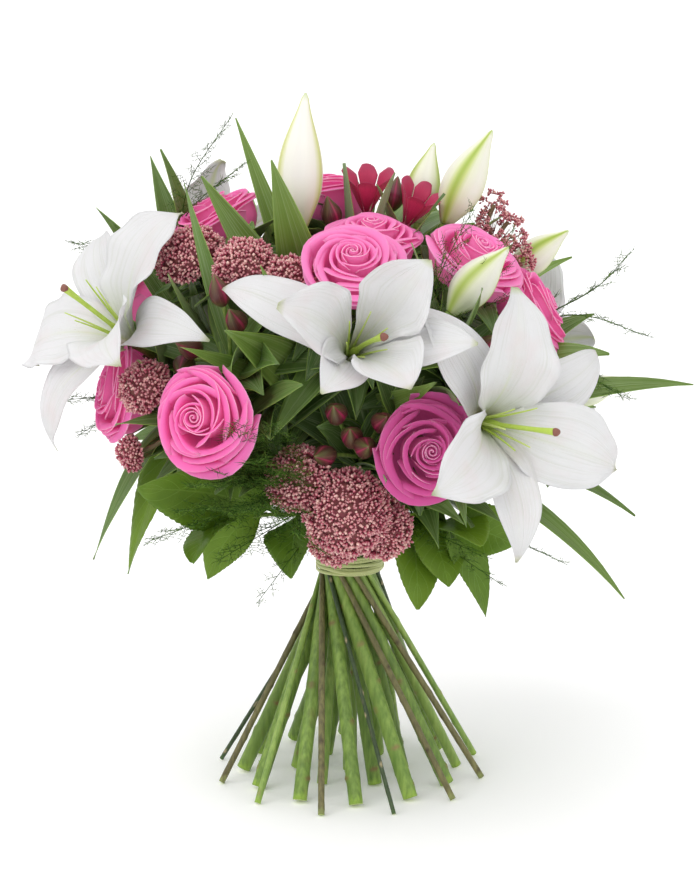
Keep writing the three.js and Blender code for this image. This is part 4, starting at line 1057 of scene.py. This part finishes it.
# name, slot, top, face, radius, lance leaves, broad leaves. A leaf is (along, tip, width, rise, roll).
ROSES = [
    ("rose_crown", (0, 0), (15, -64, 424), (-80, 76), 30, [], []),
    ("rose_front_top", (2, 0), (2, -124, 410), (-88, 50), 30, [(0.55, (-48, -107, 258), 26, 6, 0)], []),
    ("rose_right_top", (1, 1), (92, -72, 410), (-40, 56), 30, [], []),
    ("rose_back_top", (1, 4), (-24, 30, 446), (110, 76), 30, [(0.62, (-66, 84, 410), 26, 6, 0)], []),
    ("rose_right", (2, 3), (143, -38, 366), (-8, 30), 30, [(0.6, (169, 57, 336), 28, 8, 0)], []),
    ("rose_left", (2, 10), (-104, -162, 304), (-114, 8), 32, [], []),
    (
        "rose_far_left", (2, 8), (-176, -62, 306), (-162, 14), 30,
        [(0.6, (-168, 34, 250), 26, 6, 0), (0.97, (-186, -64, 182), 24, 14, 0)],
        [(0.82, (-162, -66, 172), 36, 14, 0)],
    ),
    ("rose_centre_right", (2, 1), (54, -166, 282), (-76, 4), 30, [(0.6, (103, -124, 226), 24, 0, 0)], []),
    ("rose_left_top", (1, 5), (-104, -8, 432), (-172, 62), 30, [], []),
    (
        "rose_left_back", (2, 6), (-172, 52, 340), (164, 16), 30,
        [(0.6, (-176, 84, 262), 28, 4, 0), (0.8, (-147, 32, 462), 26, 0, 70)], [],
    ),
    ("rose_back", (2, 5), (-20, 168, 322), (98, 14), 30, [(0.6, (-66, 158, 250), 28, 4, 0)], []),
    ("rose_back_right", (2, 4), (84, 118, 372), (52, 36), 30, [(0.6, (66, 168, 306), 28, 4, 0)], []),
]

# Roses with painted light on their petals, for those high in the light, and one with painted shade, for the
# rose in shade
PAINTED_LIT, PAINTED_SHADED = 0.03, 0.96
ROSE_PAINTED_LIGHT = {"rose_centre_right": PAINTED_SHADED, "rose_front_top": PAINTED_LIT, "rose_right_top": PAINTED_LIT, "rose_crown": PAINTED_LIT}

EVEN = ([1] * 6, [0] * 6)  # the spread and shift of a flower whose tepals are all alike
# name, slot, neck, face, blooms (name, neck, face, turn, spread, shift, style turn),
# buds (name or None, base, tip, radius), leaves
LILIES = [
    (
        "lily_centre", (1, 0), (-14, -58, 322), (-95, 66),
        [
            (
                "lily_centre_bloom", (-2, -129, 338), (-76, 24), -43, [0.57, 0.52, 1.4, 0.66, 0.5, 0.46],
                [0, 0, 40, 0, 0, 0], -20,
            ),
        ],
        [("lily_centre_bud", (-35, -36, 416), (-31, -34, 511), 16)],
        [
            (0.8, (-53, -108, 468), 36, 0, 0), (0.7, (-78, -168, 362), 42, 6, -65),
            (0.62, (-110, -156, 351), 24, 5, -10), (0.85, (98, -161, 344), 26, -2, 0),
            (0.9, (-82, 4, 492), 20, 0, 10),
        ],
    ),
    (
        "lily_left", (2, 7), (-96, -22, 300), (-170, 50),
        [
            (
                "lily_left_bloom", (-150, -56, 336), (-135, 36), -17, [1.16, 1.2, 1.21, 1.6, 1.45, 0.96],
                [-12, -3, -1, 6, -5, 16], 0,
            ),
            ("lily_left_back_bloom", (-96, 98, 350), (132, 34), 0, *EVEN, 90),
        ],
        [],
        [
            (0.7, (-146, -112, 332), 30, 6, 10), (0.8, (-126, -104, 392), 26, 6, 0),
            (0.6, (-126, 124, 284), 28, 10, 0),
        ],
    ),
    (
        "lily_right", (2, 2), (88, -46, 296), (-28, 50),
        [
            (
                "lily_right_bloom", (85, -133, 296), (-62, 5), -5, [1.25, 1.2, 1.2, 0.92, 0.85, 1.2],
                [0, 0, -22, 0, 0, 12], 0,
            ),
        ],
        [
            ("lily_right_bud", (68, -118, 368), (107, -116, 412), 14),
            (None, (118, 14, 376), (160, 16, 409), 12.5), (None, (160, -16, 288), (202, -8, 304), 10),
        ],
        [
            (0.8, (182, -66, 333), 34, 16, -10), (0.72, (246, -42, 306), 22, 12, 0),
            (0.6, (204, -72, 218), 30, 14, 0), (0.5, (202, -42, 147), 26, 22, 0),
            (0.85, (180, 6, 350), 24, 6, 0), (0.66, (190, 62, 270), 26, 10, 0),
        ],
    ),
    (
        "lily_back", (1, 2), (56, 34, 366), (20, 72),
        [("lily_back_bloom", (96, 84, 300), (38, 14), 20, *EVEN, 90)],
        [
            (None, (49, 2, 416), (61, 12, 473), 12.5), (None, (68, -22, 418), (101, -18, 484), 15),
            (None, (48, 72, 398), (66, 98, 452), 12.5),
        ],
        [
            (0.9, (20, -50, 450), 20, 0, 0), (0.8, (4, 62, 448), 26, 4, 0), (0.7, (30, 132, 402), 28, 8, 0),
            (0.6, (169, 80, 384), 26, 10, 0), (0.66, (168, 74, 236), 28, 12, 0),
        ],
    ),
]

# name, slot, neck, face, domes (centre, radius, azimuth and elevation)
RICE_FLOWERS = [
    (
        "rice_flower_top", (3, 9), (-72, -66, 362), (-135, 68),
        [
            ((-110, -62, 397), 25, (-140, 62)), ((-72, -92, 395), 22, (-115, 60)),
            ((-40, -104, 386), 20, (-95, 56)),
        ],
    ),
    (
        "rice_flower_left", (3, 8), (-116, -84, 286), (-145, 34),
        [((-140, -104, 314), 19, (-135, 34)), ((-152, -86, 264), 12, (-150, 0))],
    ),
    (
        "rice_flower_front", (3, 0), (-2, -92, 226), (-95, 24),
        [
            ((-2, -132, 233), 29, (-94, 16)), ((-35, -124, 254), 23, (-112, 34)),
            ((22, -116, 217), 21, (-70, -10)), ((-10, -108, 208), 19, (-96, -14)),
        ],
    ),
    (
        "rice_flower_right", (3, 4), (96, 2, 384), (-8, 66),
        [
            ((104, -6, 430), 9, (10, 62)), ((114, -8, 418), 9, (0, 50)), ((98, -8, 416), 9, (180, 50)),
            ((122, -10, 402), 9, (-8, 40)), ((110, -14, 402), 9, (-90, 30)),
            ((124, -14, 388), 8, (-20, 20)),
        ],
    ),
    (
        "rice_flower_back", (3, 6), (-52, 116, 330), (118, 40),
        [((-62, 148, 352), 24, (116, 30)), ((-34, 138, 372), 18, (100, 44))],
    ),
]

# name, slot, neck, face, florets (place, face, how far open), leaves
ALSTROEMERIAS = [
    (
        "alstroemeria_top", (1, 3), (6, -10, 392), (-80, 80),
        [
            ((12, -14, 420), (-85, 74), 0.9), ((38, -16, 412), (-40, 60), 0.6),
            ((-12, -24, 416), (-110, 62), 0), ((30, 8, 424), (40, 76), 0),
        ],
        [(0.92, (-2, -38, 463), 24, 0, 0)],
    ),
    (
        "alstroemeria_front", (2, 11), (8, -92, 262), (-92, 22),
        [
            ((2, -122, 279), (-95, 32), 0), ((-12, -120, 270), (-118, 8), 0),
            ((18, -120, 272), (-64, 8), 0), ((28, -106, 284), (-55, 22), 0),
            ((-8, -124, 296), (-98, 30), 0), ((20, -122, 290), (-78, 26), 0),
            ((8, -128, 277), (-80, 12), 0),
        ],
        [(0.8, (25, -170, 264), 24, 2, 0), (0.7, (78, -120, 222), 24, 8, 0)],
    ),
    (
        "alstroemeria_left", (2, 9), (-82, -88, 328), (-130, 40),
        [
            ((-74, -116, 356), (-110, 40), 0), ((-102, -108, 340), (-130, 20), 0),
            ((-112, -92, 330), (-100, -5), 0), ((-108, -100, 280), (-130, -14), 0),
            ((-86, -112, 372), (-115, 60), 0),
        ],
        [(0.95, (-113, -97, 453), 13, 0, 10), (0.75, (-55, -160, 291), 26, 4, 0)],
    ),
    (
        "alstroemeria_right", (3, 2), (72, -92, 318), (-58, 42),
        [((74, -122, 322), (-60, 10), 0), ((88, -112, 338), (-50, 40), 0), ((58, -118, 340), (-80, 50), 0)],
        [(0.95, (90, -153, 388), 26, 6, 15), (0.8, (73, -177, 318), 26, 4, 0)],
    ),
]

# name, slot, neck, face, leaves
BROADLEAVES = [
    (
        "broadleaf_left", (3, 10), (-86, -70, 212), (-140, 0),
        [
            (0.62, (-142, -130, 246), 54, 6, 0), (0.5, (-44, -84, 174), 48, 10, 0),
            (0.72, (-106, -46, 162), 40, 14, 0), (0.98, (-112, -118, 196), 40, 6, 0),
        ],
    ),
    (
        "broadleaf_right", (3, 1), (70, -74, 208), (-50, -6),
        [
            (0.55, (50, -92, 153), 46, 14, 0), (0.9, (100, -62, 138), 30, 18, 0),
            (0.8, (92, -112, 208), 46, 4, 0), (0.98, (116, -80, 196), 40, 4, 0),
            (0.45, (34, -98, 234), 44, 4, 0), (0.6, (78, -112, 240), 50, 4, 0),
            (0.7, (72, -84, 168), 44, 6, 0),
        ],
    ),
    (
        "broadleaf_back", (3, 5), (10, 96, 224), (88, 4),
        [
            (0.6, (-62, 126, 214), 50, 8, 0), (0.7, (70, 122, 206), 50, 8, 0),
            (0.8, (-18, 138, 180), 46, 14, 0), (0.9, (34, 150, 236), 46, 6, 0),
            (0.98, (-6, 152, 256), 44, 4, 0),
        ],
    ),
]

# name, slot, neck, face, spread
FERNS = [
    ("fern_front", (3, 11), (-86, -142, 256), (-140, 2), 34),
    ("fern_right", (3, 3), (150, -10, 366), (-6, 52), 36),
    ("fern_back", (3, 7), (-154, 16, 416), (174, 48), 36),
]
# Further sprays of each: along its stem, points it passes, spread, branches, needle length.
SPRAYS = {
    "fern_front": [
        (0.55, [(-60, -120, 252), (-90, -166, 268)], 30, 26, 5),
        (0.6, [(-66, -140, 270), (-76, -186, 306)], 24, 24, 5),
        (0.6, [(-48, -130, 270), (-52, -160, 300)], 26, 24, 5),
        (0.45, [(-50, -120, 236), (-72, -160, 240)], 28, 26, 5),
        (0.5, [(-70, -124, 236), (-118, -158, 240)], 28, 26, 5),
        (0.4, [(-48, -84, 214), (-92, -126, 196)], 28, 24, 5),
        (0.3, [(-30, -70, 200), (-66, -98, 158)], 18, 16, 4),
        (0.5, [(-84, -112, 228), (-140, -136, 212)], 26, 24, 5),
        (0.4, [(-30, -104, 226), (-32, -150, 238)], 24, 22, 5),
        (0.5, [(-40, -120, 244), (-40, -162, 266)], 26, 24, 5),
        (0.55, [(-56, -130, 258), (-62, -172, 278)], 28, 26, 5),
        (0.62, [(-80, -140, 256), (-104, -188, 264)], 24, 24, 5),
        (0.45, [(-60, -146, 248), (-16, -168, 212)], 22, 16, 5),
        (0.5, [(-46, -130, 250), (-34, -170, 276)], 22, 22, 5),
    ],
    "fern_right": [
        (0.45, [(50, -96, 340), (58, -122, 388), (84, -112, 440)], 36, 26, 5),
        (0.6, [(90, -60, 330), (96, -106, 392), (112, -104, 424)], 26, 16, 4),
        (0.9, [(176, -24, 372), (200, -26, 398)], 20, 12, 5),
        (0.9, [(170, -24, 352), (214, -30, 338)], 18, 11, 5),
        (0.8, [(160, -40, 316), (196, -76, 300)], 22, 18, 5),
        (0.2, [(52, -40, 200), (108, -94, 170)], 20, 18, 4),
        (0.2, [(50, -60, 208), (92, -112, 196)], 24, 20, 5),
        (0.35, [(90, -50, 210), (156, -66, 178)], 20, 18, 4),
    ],
    "fern_back": [
        (0.6, [(-150, -30, 300), (-204, -56, 296)], 22, 20, 5),
        (0.6, [(-150, -20, 292), (-196, -44, 268)], 22, 20, 5),
        (0.8, [(-170, 20, 392), (-206, 24, 400)], 20, 20, 4),
        (0.85, [(-116, -6, 444), (-84, -24, 494)], 20, 20, 4),
        (0.9, [(-112, -10, 430), (-74, -24, 462)], 22, 20, 4),
        (0.7, [(-116, 90, 380), (-120, 150, 372)], 26, 22, 5),
        (0.4, [(-50, 110, 270), (-30, 158, 262)], 26, 22, 5),
    ],
}

# Smaller leaves of the same plants: plant, along its stem, tip, width, rise, roll.
SMALL_LEAVES = [
    ("lily_left", 0.95, (-184, -4, 428), 18, 6, 0),
    ("rose_left_back", 0.75, (-134, -10, 470), 26, 0, 130),
    ("lily_centre", 0.92, (-58, -148, 402), 24, 6, 0),
    ("rose_left", 0.6, (-158, -134, 296), 26, 0, 30),
    ("alstroemeria_right", 0.98, (42, -140, 418), 18, 4, 20),
    ("alstroemeria_top", 0.98, (30, -54, 458), 16, 0, 20),
    ("alstroemeria_top", 0.9, (64, -62, 444), 18, 0, 20),
    ("lily_centre", 0.7, (54, -166, 328), 26, -6, 30),
    ("lily_centre", 0.95, (-103, -58, 455), 30, 0, 0),
    ("rose_centre_right", 0.5, (62, -118, 206), 28, 4, 0),
    ("lily_right", 0.4, (88, -100, 216), 30, 6, 0),
    ("lily_centre", 0.45, (40, -100, 206), 28, 4, 0),
    ("lily_right", 0.35, (76, -84, 204), 34, 4, 0),
]

# Building

ROUTES = {}
for row in (*ROSES, *LILIES, *RICE_FLOWERS, *ALSTROEMERIAS, *BROADLEAVES, *FERNS):
    name, slot, neck, face = row[:4]
    if row in ROSES:
        neck = vec(*neck) - facing(face) * ROSE_TOP * row[4]
    ROUTES[name] = Route(slot, neck, face)

FORMS = {name: Form() for name in ROUTES}
BLOOMS = []  # points on every flower, which leaves keep clear of
LATER = []  # leaves, made once the flowers are there


def dice(name):
    """Random numbers of a plant's own."""
    return np.random.default_rng(sum(map(ord, name)))


def keep_leaves(name, rows, kind, rng, **more):
    """Rows of leaves that build_leaves makes."""
    LATER.extend((name, row, kind, rng, more) for row in rows)


def flower_piece(form, every, name, materials, slot, node):
    """A flower's piece, with some of its points kept for the leaves to clear."""
    BLOOMS.append(np.concatenate(form.points)[::every])
    form.piece(name, materials, slot, node)


def build_roses():
    for name, _, _, face, radius, lance, broad in ROSES:
        rng, form, route = dice(name), FORMS[name], ROUTES[name]
        stem(form, route, STEM, CUT, rng, **ROSE_STEM)
        rose_calyx(form, route.neck, face, radius, rng)
        keep_leaves(name, lance, LEAF, rng)
        keep_leaves(name, broad, OTHER, rng, broad=True)
        flower = Form()
        rose_petals(flower, route.neck, face, radius, rng, ROSE_PAINTED_LIGHT.get(name))
        flower_piece(flower, 3, f"{name}_flower", [PETAL], "rose_petal", f"{name}_petals")


def build_lilies():
    for name, _, _, _, blooms, buds, leaves in LILIES:
        rng, form, route = dice(name), FORMS[name], ROUTES[name]
        stem(form, route, STEM, CUT, rng, **LILY_STEM)
        for bloom, at, way, turn, spread, shift, style_turn in blooms:
            stalk(form, route.neck, vec(*at) + facing(way) * 2, facing(way), 2.8, STEM, rng, 1.5)
            flower = Form()
            lily_bloom(flower, vec(*at), way, turn, spread, shift, style_turn, rng)
            flower_piece(flower, 2, f"{bloom}_flower", [LILY, STYLE, STIGMA], "lily_petal", bloom)
        for bud, base, tip, radius in buds:
            way = unit(vec(*tip) - vec(*base))
            stalk(form, route.neck, vec(*base) + way * 1.5, way, 2.6, STEM, rng, 1.3)
            closed = Form() if bud else form
            ripe = 0.95 if radius > 15 else 0.3 if bud else rng.uniform(0.05, 0.3)
            lily_bud(closed, base, tip, radius, 0 if bud else OTHER, ripe)
            BLOOMS.append(closed.points[-1][::2])
            if bud:
                closed.piece(f"{bud}_closed", [LILY_BUD], "lily_petal", bud)
        keep_leaves(name, leaves, LEAF, rng)


def build_rice_flowers():
    for name, _, _, face, domes in RICE_FLOWERS:
        rng, route = dice(name), ROUTES[name]
        stem(FORMS[name], route, STEM, RICE_CUT, rng, **RICE_STEM)
        head = Form()
        root = route.neck + facing(face) * 1.5
        head.knob(route.neck, facing(face), [-0.5, 1.5, 3.5], [2.0, 2.4, 1.8], 8, 1, 0.5)
        for centre, radius, way in domes:
            stalk(head, root, vec(*centre), facing(way), 1.6, 1, rng)
            if radius < LEAST_DOME:
                rice_spray(head, centre, radius, way, root, rng)
            else:
                rice_dome(head, centre, radius, way, rng)
        flower_piece(head, 10, f"{name}_clusters", [RICE, RICE_STALK], "rice_bud", f"{name}_heads")


def build_alstroemerias():
    skins = [FLORET_BUD_SKIN, FLORET, SOFT_STEM_SKIN]
    for name, slot, _, face, florets, leaves in ALSTROEMERIAS:
        rng, route = dice(name), ROUTES[name]
        stem(FORMS[name], route, STEM, CUT, rng, **(THIN_SOFT_STEM if slot[0] == 3 else SOFT_STEM))
        umbel = Form()
        root = route.neck + facing(face) * 2
        umbel.knob(route.neck, facing(face), [-0.5, 2, 4.5], [2.2, 2.6, 2.0], 9, 2, 0.5)
        for at, way, opened in florets:
            stalk(umbel, root, vec(*at) + facing(way) * 0.8, facing(way), 1.4, 2, rng, 1.4)
            if opened:
                floret_flower(umbel, at, way, opened, rng)
            else:
                floret_bud(umbel, at, way, rng)
        flower_piece(umbel, 2, f"{name}_florets", skins, "alstroemeria_red", f"{name}_flowers")
        keep_leaves(name, leaves, LEAF, rng, wave=1.6)


def build_foliage():
    for name, *_, leaves in BROADLEAVES:
        rng = dice(name)
        stem(FORMS[name], ROUTES[name], STEM, CUT, rng, **BROADLEAF_STEM)
        keep_leaves(name, leaves, LEAF, rng, broad=True)
    for name, *_, spread in FERNS:
        rng, form, route = dice(name), FORMS[name], ROUTES[name]
        stem(form, route, FERN_STALK, CUT, rng, **FERN_STEM)
        fern_spray(form, route.at(np.linspace(0.25, 1, 16)), spread * 1.1, rng, 30, start=0.08)
    rng = np.random.default_rng(7)
    for name, sprays in SPRAYS.items():
        for along, points, spread, branches, needle in sprays:
            line = smooth_line([ROUTES[name].at(along), *np.array(points, float)], np.linspace(0, 1, 14))
            fern_spray(FORMS[name], line, spread, rng, branches, needle)


# How a leaf is raised and rolled, and how far down its stem it moves, until it clears the flowers.
BENDS = [(0, 0), (6, 0), (0, 14), (0, -14), (8, 20), (8, -20), (-5, 0), (14, 0), (14, 30), (14, -30)]
BACKS = [0, 0.12, 0.24, 0.36, -0.08]


def clear_leaf(name, row, kind, rng, near, **more):
    """A leaf that keeps clear of the flowers. Where none of its bends does, it isn't made."""
    along, tip, width, rise, roll = row
    for back in BACKS:
        spot = ROUTES[name].at(min(max(along - back, 0.35), 1))
        for lift, turn in BENDS:
            if leaf(FORMS[name], spot, tip, width, rise + lift, roll + turn, kind, rng, near=near, **more):
                return True
    return False


def build_leaves(near):
    """Leaves of the solids are made even where they can't keep clear, and small ones aren't."""
    for name, row, kind, rng, more in LATER:
        if not clear_leaf(name, row, kind, rng, near, **more):
            along, *rest = row
            leaf(FORMS[name], ROUTES[name].at(along), *rest, kind, rng, **more)
    rng = np.random.default_rng(5)
    for name, *row in SMALL_LEAVES:
        clear_leaf(name, row, LEAF, rng, near, wave=1.5)


def flower_heads():
    """A ball round every flower, as its centre and radius."""
    for _, _, centre, face, radius, *_ in ROSES:
        yield vec(*centre) - facing(face) * 0.5 * radius, radius
    for lily in LILIES:
        for _, neck, face, *_ in lily[4]:
            yield vec(*neck) + facing(face) * 55, 46
        for _, base, tip, radius in lily[5]:
            yield (vec(*base) + vec(*tip)) / 2, radius * 1.3
    for rice in RICE_FLOWERS:
        for centre, radius, _ in rice[4]:
            yield vec(*centre), radius
    for plant in ALSTROEMERIAS:
        for at, face, _ in plant[4]:
            yield vec(*at) + facing(face) * 14, 15 if len(plant[4]) > 4 else 21


# Layers of leaves between the heads: how many directions are tried, how far out the tips lie as
# a share of the heads' distance, and how much of each head's radius they keep clear of.
LAYERS = [(420, 1.0, 0.85), (300, 0.8, 0.0), (200, 0.62, 0.0)]
HEAD_BESIDE = 46  # a head this near to a leaf's direction sets how far the leaf reaches
FREE_REACH = 120.0  # how far it reaches where there is none
LEAST_LEAF = 40
FARTHEST_STEM = 60  # from where the leaf would start to the stem that it grows on


def fill_gaps(near):
    """Leaves that fill the gaps between the heads, on the stems nearest to them."""
    rng = np.random.default_rng(23)
    centres, radii = [np.array(part, float) for part in zip(*flower_heads())]
    hosts = [n for n in ROUTES if n.startswith(("rose", "lily", "alstroemeria"))]
    samples = [(n, ROUTES[n].at(s)) for n in hosts for s in np.linspace(0.4, 0.97, 9)]
    spots = np.array([s[1] for s in samples])
    boxes = np.array([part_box(n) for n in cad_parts]) * 1000
    low, high = boxes[:, 0].min(axis=0) + 4, boxes[:, 1].max(axis=0) - 4
    for total, deep, margin in LAYERS:
        for way in fibonacci(total, -0.55, deep):
            ray = centres - HEART
            depth = ray @ way
            aside = np.linalg.norm(ray - depth[:, None] * way, axis=1)
            if np.any((depth > 0) & (aside < radii * margin)):
                continue
            close = (depth > 0) & (aside < radii + HEAD_BESIDE)
            reach = (depth[close].max() if close.any() else FREE_REACH) * deep
            tip = HEART + way * (reach + rng.uniform(-14, 4))
            lean = unit(np.cross(way, rng.normal(size=3)))
            seat = HEART + way * reach * 0.66 + lean * 40
            gap = np.linalg.norm(spots - seat, axis=1)
            best = int(np.argmin(gap))
            host, spot = samples[best]
            if gap[best] > FARTHEST_STEM or np.linalg.norm(tip - spot) < LEAST_LEAF:
                continue
            if np.any(tip < low) or np.any(tip > high):
                continue
            # The leaf doesn't hide a head that lies under it.
            blade = spot + (tip - spot) * np.array([[0.45], [0.6], [0.75], [0.9]]) - HEART
            height = np.linalg.norm(blade, axis=1)[:, None]
            under = blade @ ray.T / height
            off = np.linalg.norm(ray[None] - under[..., None] * (blade / height)[:, None], axis=2)
            if np.any((under > 0) & (under < height + 4) & (off < radii * 0.6)):
                continue
            outer = deep == 1
            width = rng.uniform(22, 36)
            # Leaves of the inner layers all take the darkest tint: painted shade deep between the heads.
            tint = rng.uniform(0.02, 0.97) if outer else 0.04
            rise, roll = rng.uniform(3, 10), rng.uniform(-18, 18)
            more = dict(wave=1.5, fine=0.75 if outer else 0.42, tint=tint, near=near)
            leaf(FORMS[host], spot, tip, width, rise, roll, LEAF, rng, **more)


def build():
    """Flowers first, then the leaves round them, then each plant's green piece."""
    build_roses()
    build_lilies()
    build_rice_flowers()
    build_alstroemerias()
    build_foliage()
    points = np.concatenate(BLOOMS)
    near = KDTree(len(points))
    for i, q in enumerate(points):
        near.insert(q, i)
    near.balance()
    build_leaves(near)
    fill_gaps(near)
    # The green pieces: what their names and their nodes' names end in, their slots and materials.
    for rows, ending, node, slot, materials in (
        (ROSES, "_green", "_stem", "rose_green", [ROSE_STEM_SKIN, ROSE_LEAF, CUT_END, BROAD_LEAF]),
        (LILIES, "_plant", "", "lily_green", [LILY_STEM_SKIN, LILY_LEAF, CUT_END, LILY_BUD]),
        (RICE_FLOWERS, "_wood", "_stem", "woody_stem", [WOODY_SKIN, CUT_END]),
        (ALSTROEMERIAS, "_green", "_stem", "alstroemeria_green", [SOFT_STEM_SKIN, ALSTRO_LEAF, CUT_END]),
        (BROADLEAVES, "_plant", "", "broadleaf_green", [SOFT_STEM_SKIN, BROAD_LEAF, CUT_END]),
        (FERNS, "_sprays", "", "fern_green", [FERN, WIRY_SKIN, CUT_END]),
    ):
        for name, *_ in rows:
            FORMS[name].piece(name + ending, materials, slot, name + node)


STRANDS = 7
TIE_BAND = 9.6  # from the lowest strand to the highest
TIE_RADIUS = 24.7
STRAND_LENGTH = 155


def raffia_tie():
    """Flat strands wound round the stems, with a knot and two tails at the back."""
    rng = np.random.default_rng(3)
    form = Form()
    turns = np.linspace(0, 2 * np.pi, 73)[:-1]
    for k in range(STRANDS):
        level = TIE_HEIGHT + TIE_BAND * (k / (STRANDS - 1) - 0.5)
        phase = rng.uniform(0, 6)
        high = level + 0.9 * np.sin(turns + phase) + 0.4 * np.sin(3 * turns + 2 * phase)
        out = TIE_RADIUS + 0.45 * np.sin(2 * turns + phase) + 0.25 * (k % 2)
        centre = np.stack([out * np.cos(turns), out * np.sin(turns), high], -1)
        section = circle(10)
        flat = 0.75 * np.cos(section)
        tall = 1.35 * np.sin(section)
        ray = np.stack([np.cos(turns), np.sin(turns), 0 * turns], -1)
        points = centre[:, None] + flat[None, :, None] * ray[:, None] + tall[None, :, None] * vec(0, 0, 1)
        points = np.concatenate([points, points[:1]])
        run = np.linspace(0, STRAND_LENGTH, 73)[:, None]
        form.grid(points, triples(section / TURN, run, rng.uniform(0, 0.9)), 0, wrap=True)
    knot = vec(0, 25.8, TIE_HEIGHT)
    for side in (-1, 1):
        s = np.linspace(0, 1, 16)[:, None]
        swell = np.sin(np.pi * s)
        loop = knot + np.hstack([side * 5.5 * swell, 1.6 + 1.5 * swell, side * 3 * np.cos(np.pi * s)])
        form.tube(loop, 1.5, 8, 0, 0.5)
        tail = knot + np.hstack([side * (2 + 11 * s), 1 + 13 * s**1.4, -31 * s**1.2])
        form.tube(tail, np.linspace(1.4, 0.8, 16), 8, 0, 0.7)
    middle = [knot + vec(x, 1.6, 0.4 * x) for x in (-4, -2, 0, 2, 4)]
    form.tube(middle, [1.2, 2.8, 3.3, 2.8, 1.2], 12, 0, 0.2)
    form.piece("raffia_tie_strands", [RAFFIA], "raffia", "raffia_tie")


build()
raffia_tie()

# Floor, light and camera

FLOOR = 400  # metres from the bouquet to each edge
floor_mesh = bpy.data.meshes.new("floor")
corners = [(-FLOOR, -FLOOR, 0), (FLOOR, -FLOOR, 0), (FLOOR, FLOOR, 0), (-FLOOR, FLOOR, 0)]
floor_mesh.from_pydata(corners, [], [(0, 1, 2, 3)])
floor = bpy.data.objects.new("floor", floor_mesh)
bpy.context.scene.collection.objects.link(floor)
floor_shade = Shade("floor", rough=0.9, Emission_Strength=0.04, Emission_Color=(1, 1, 1, 1))
floor_mesh.materials.append(floor_shade.finish(floor_shade.mix("fdfdfd", "fefefe", floor_shade.noise(3))))

world = bpy.data.worlds.new("studio")
bpy.context.scene.world = world
world.use_nodes = True
sky = world.node_tree.nodes["Background"]
sky.inputs["Color"].default_value = (1, 1, 1, 1)
sky.inputs["Strength"].default_value = 0.76


def sun(name, place, spread, power):
    """A broad light from a direction. spread is how wide it is in degrees."""
    data = bpy.data.lights.new(name, "SUN")
    data.angle = math.radians(spread)
    data.energy = power
    lamp = bpy.data.objects.new(name, data)
    lamp.rotation_euler = (-Vector(place)).to_track_quat("-Z", "Y").to_euler()
    bpy.context.scene.collection.objects.link(lamp)


sun("key", (-0.8, -0.9, 1.5), 60, 1.35)
sun("fill", (1.2, -1.0, 0.7), 70, 0.5)
sun("rim", (-0.3, 1.2, 1.4), 60, 0.5)
bpy.context.scene.view_settings.view_transform = "Standard"

camera_data = bpy.data.cameras.new("camera")
camera_data.lens = 89.0
camera_data.sensor_width = 36.0
camera = bpy.data.objects.new("camera", camera_data)
camera.location = (0, -1.6, 0.582)
camera.rotation_euler = (math.radians(90 - 11.7), 0, 0)
bpy.context.scene.collection.objects.link(camera)
bpy.context.scene.camera = camera
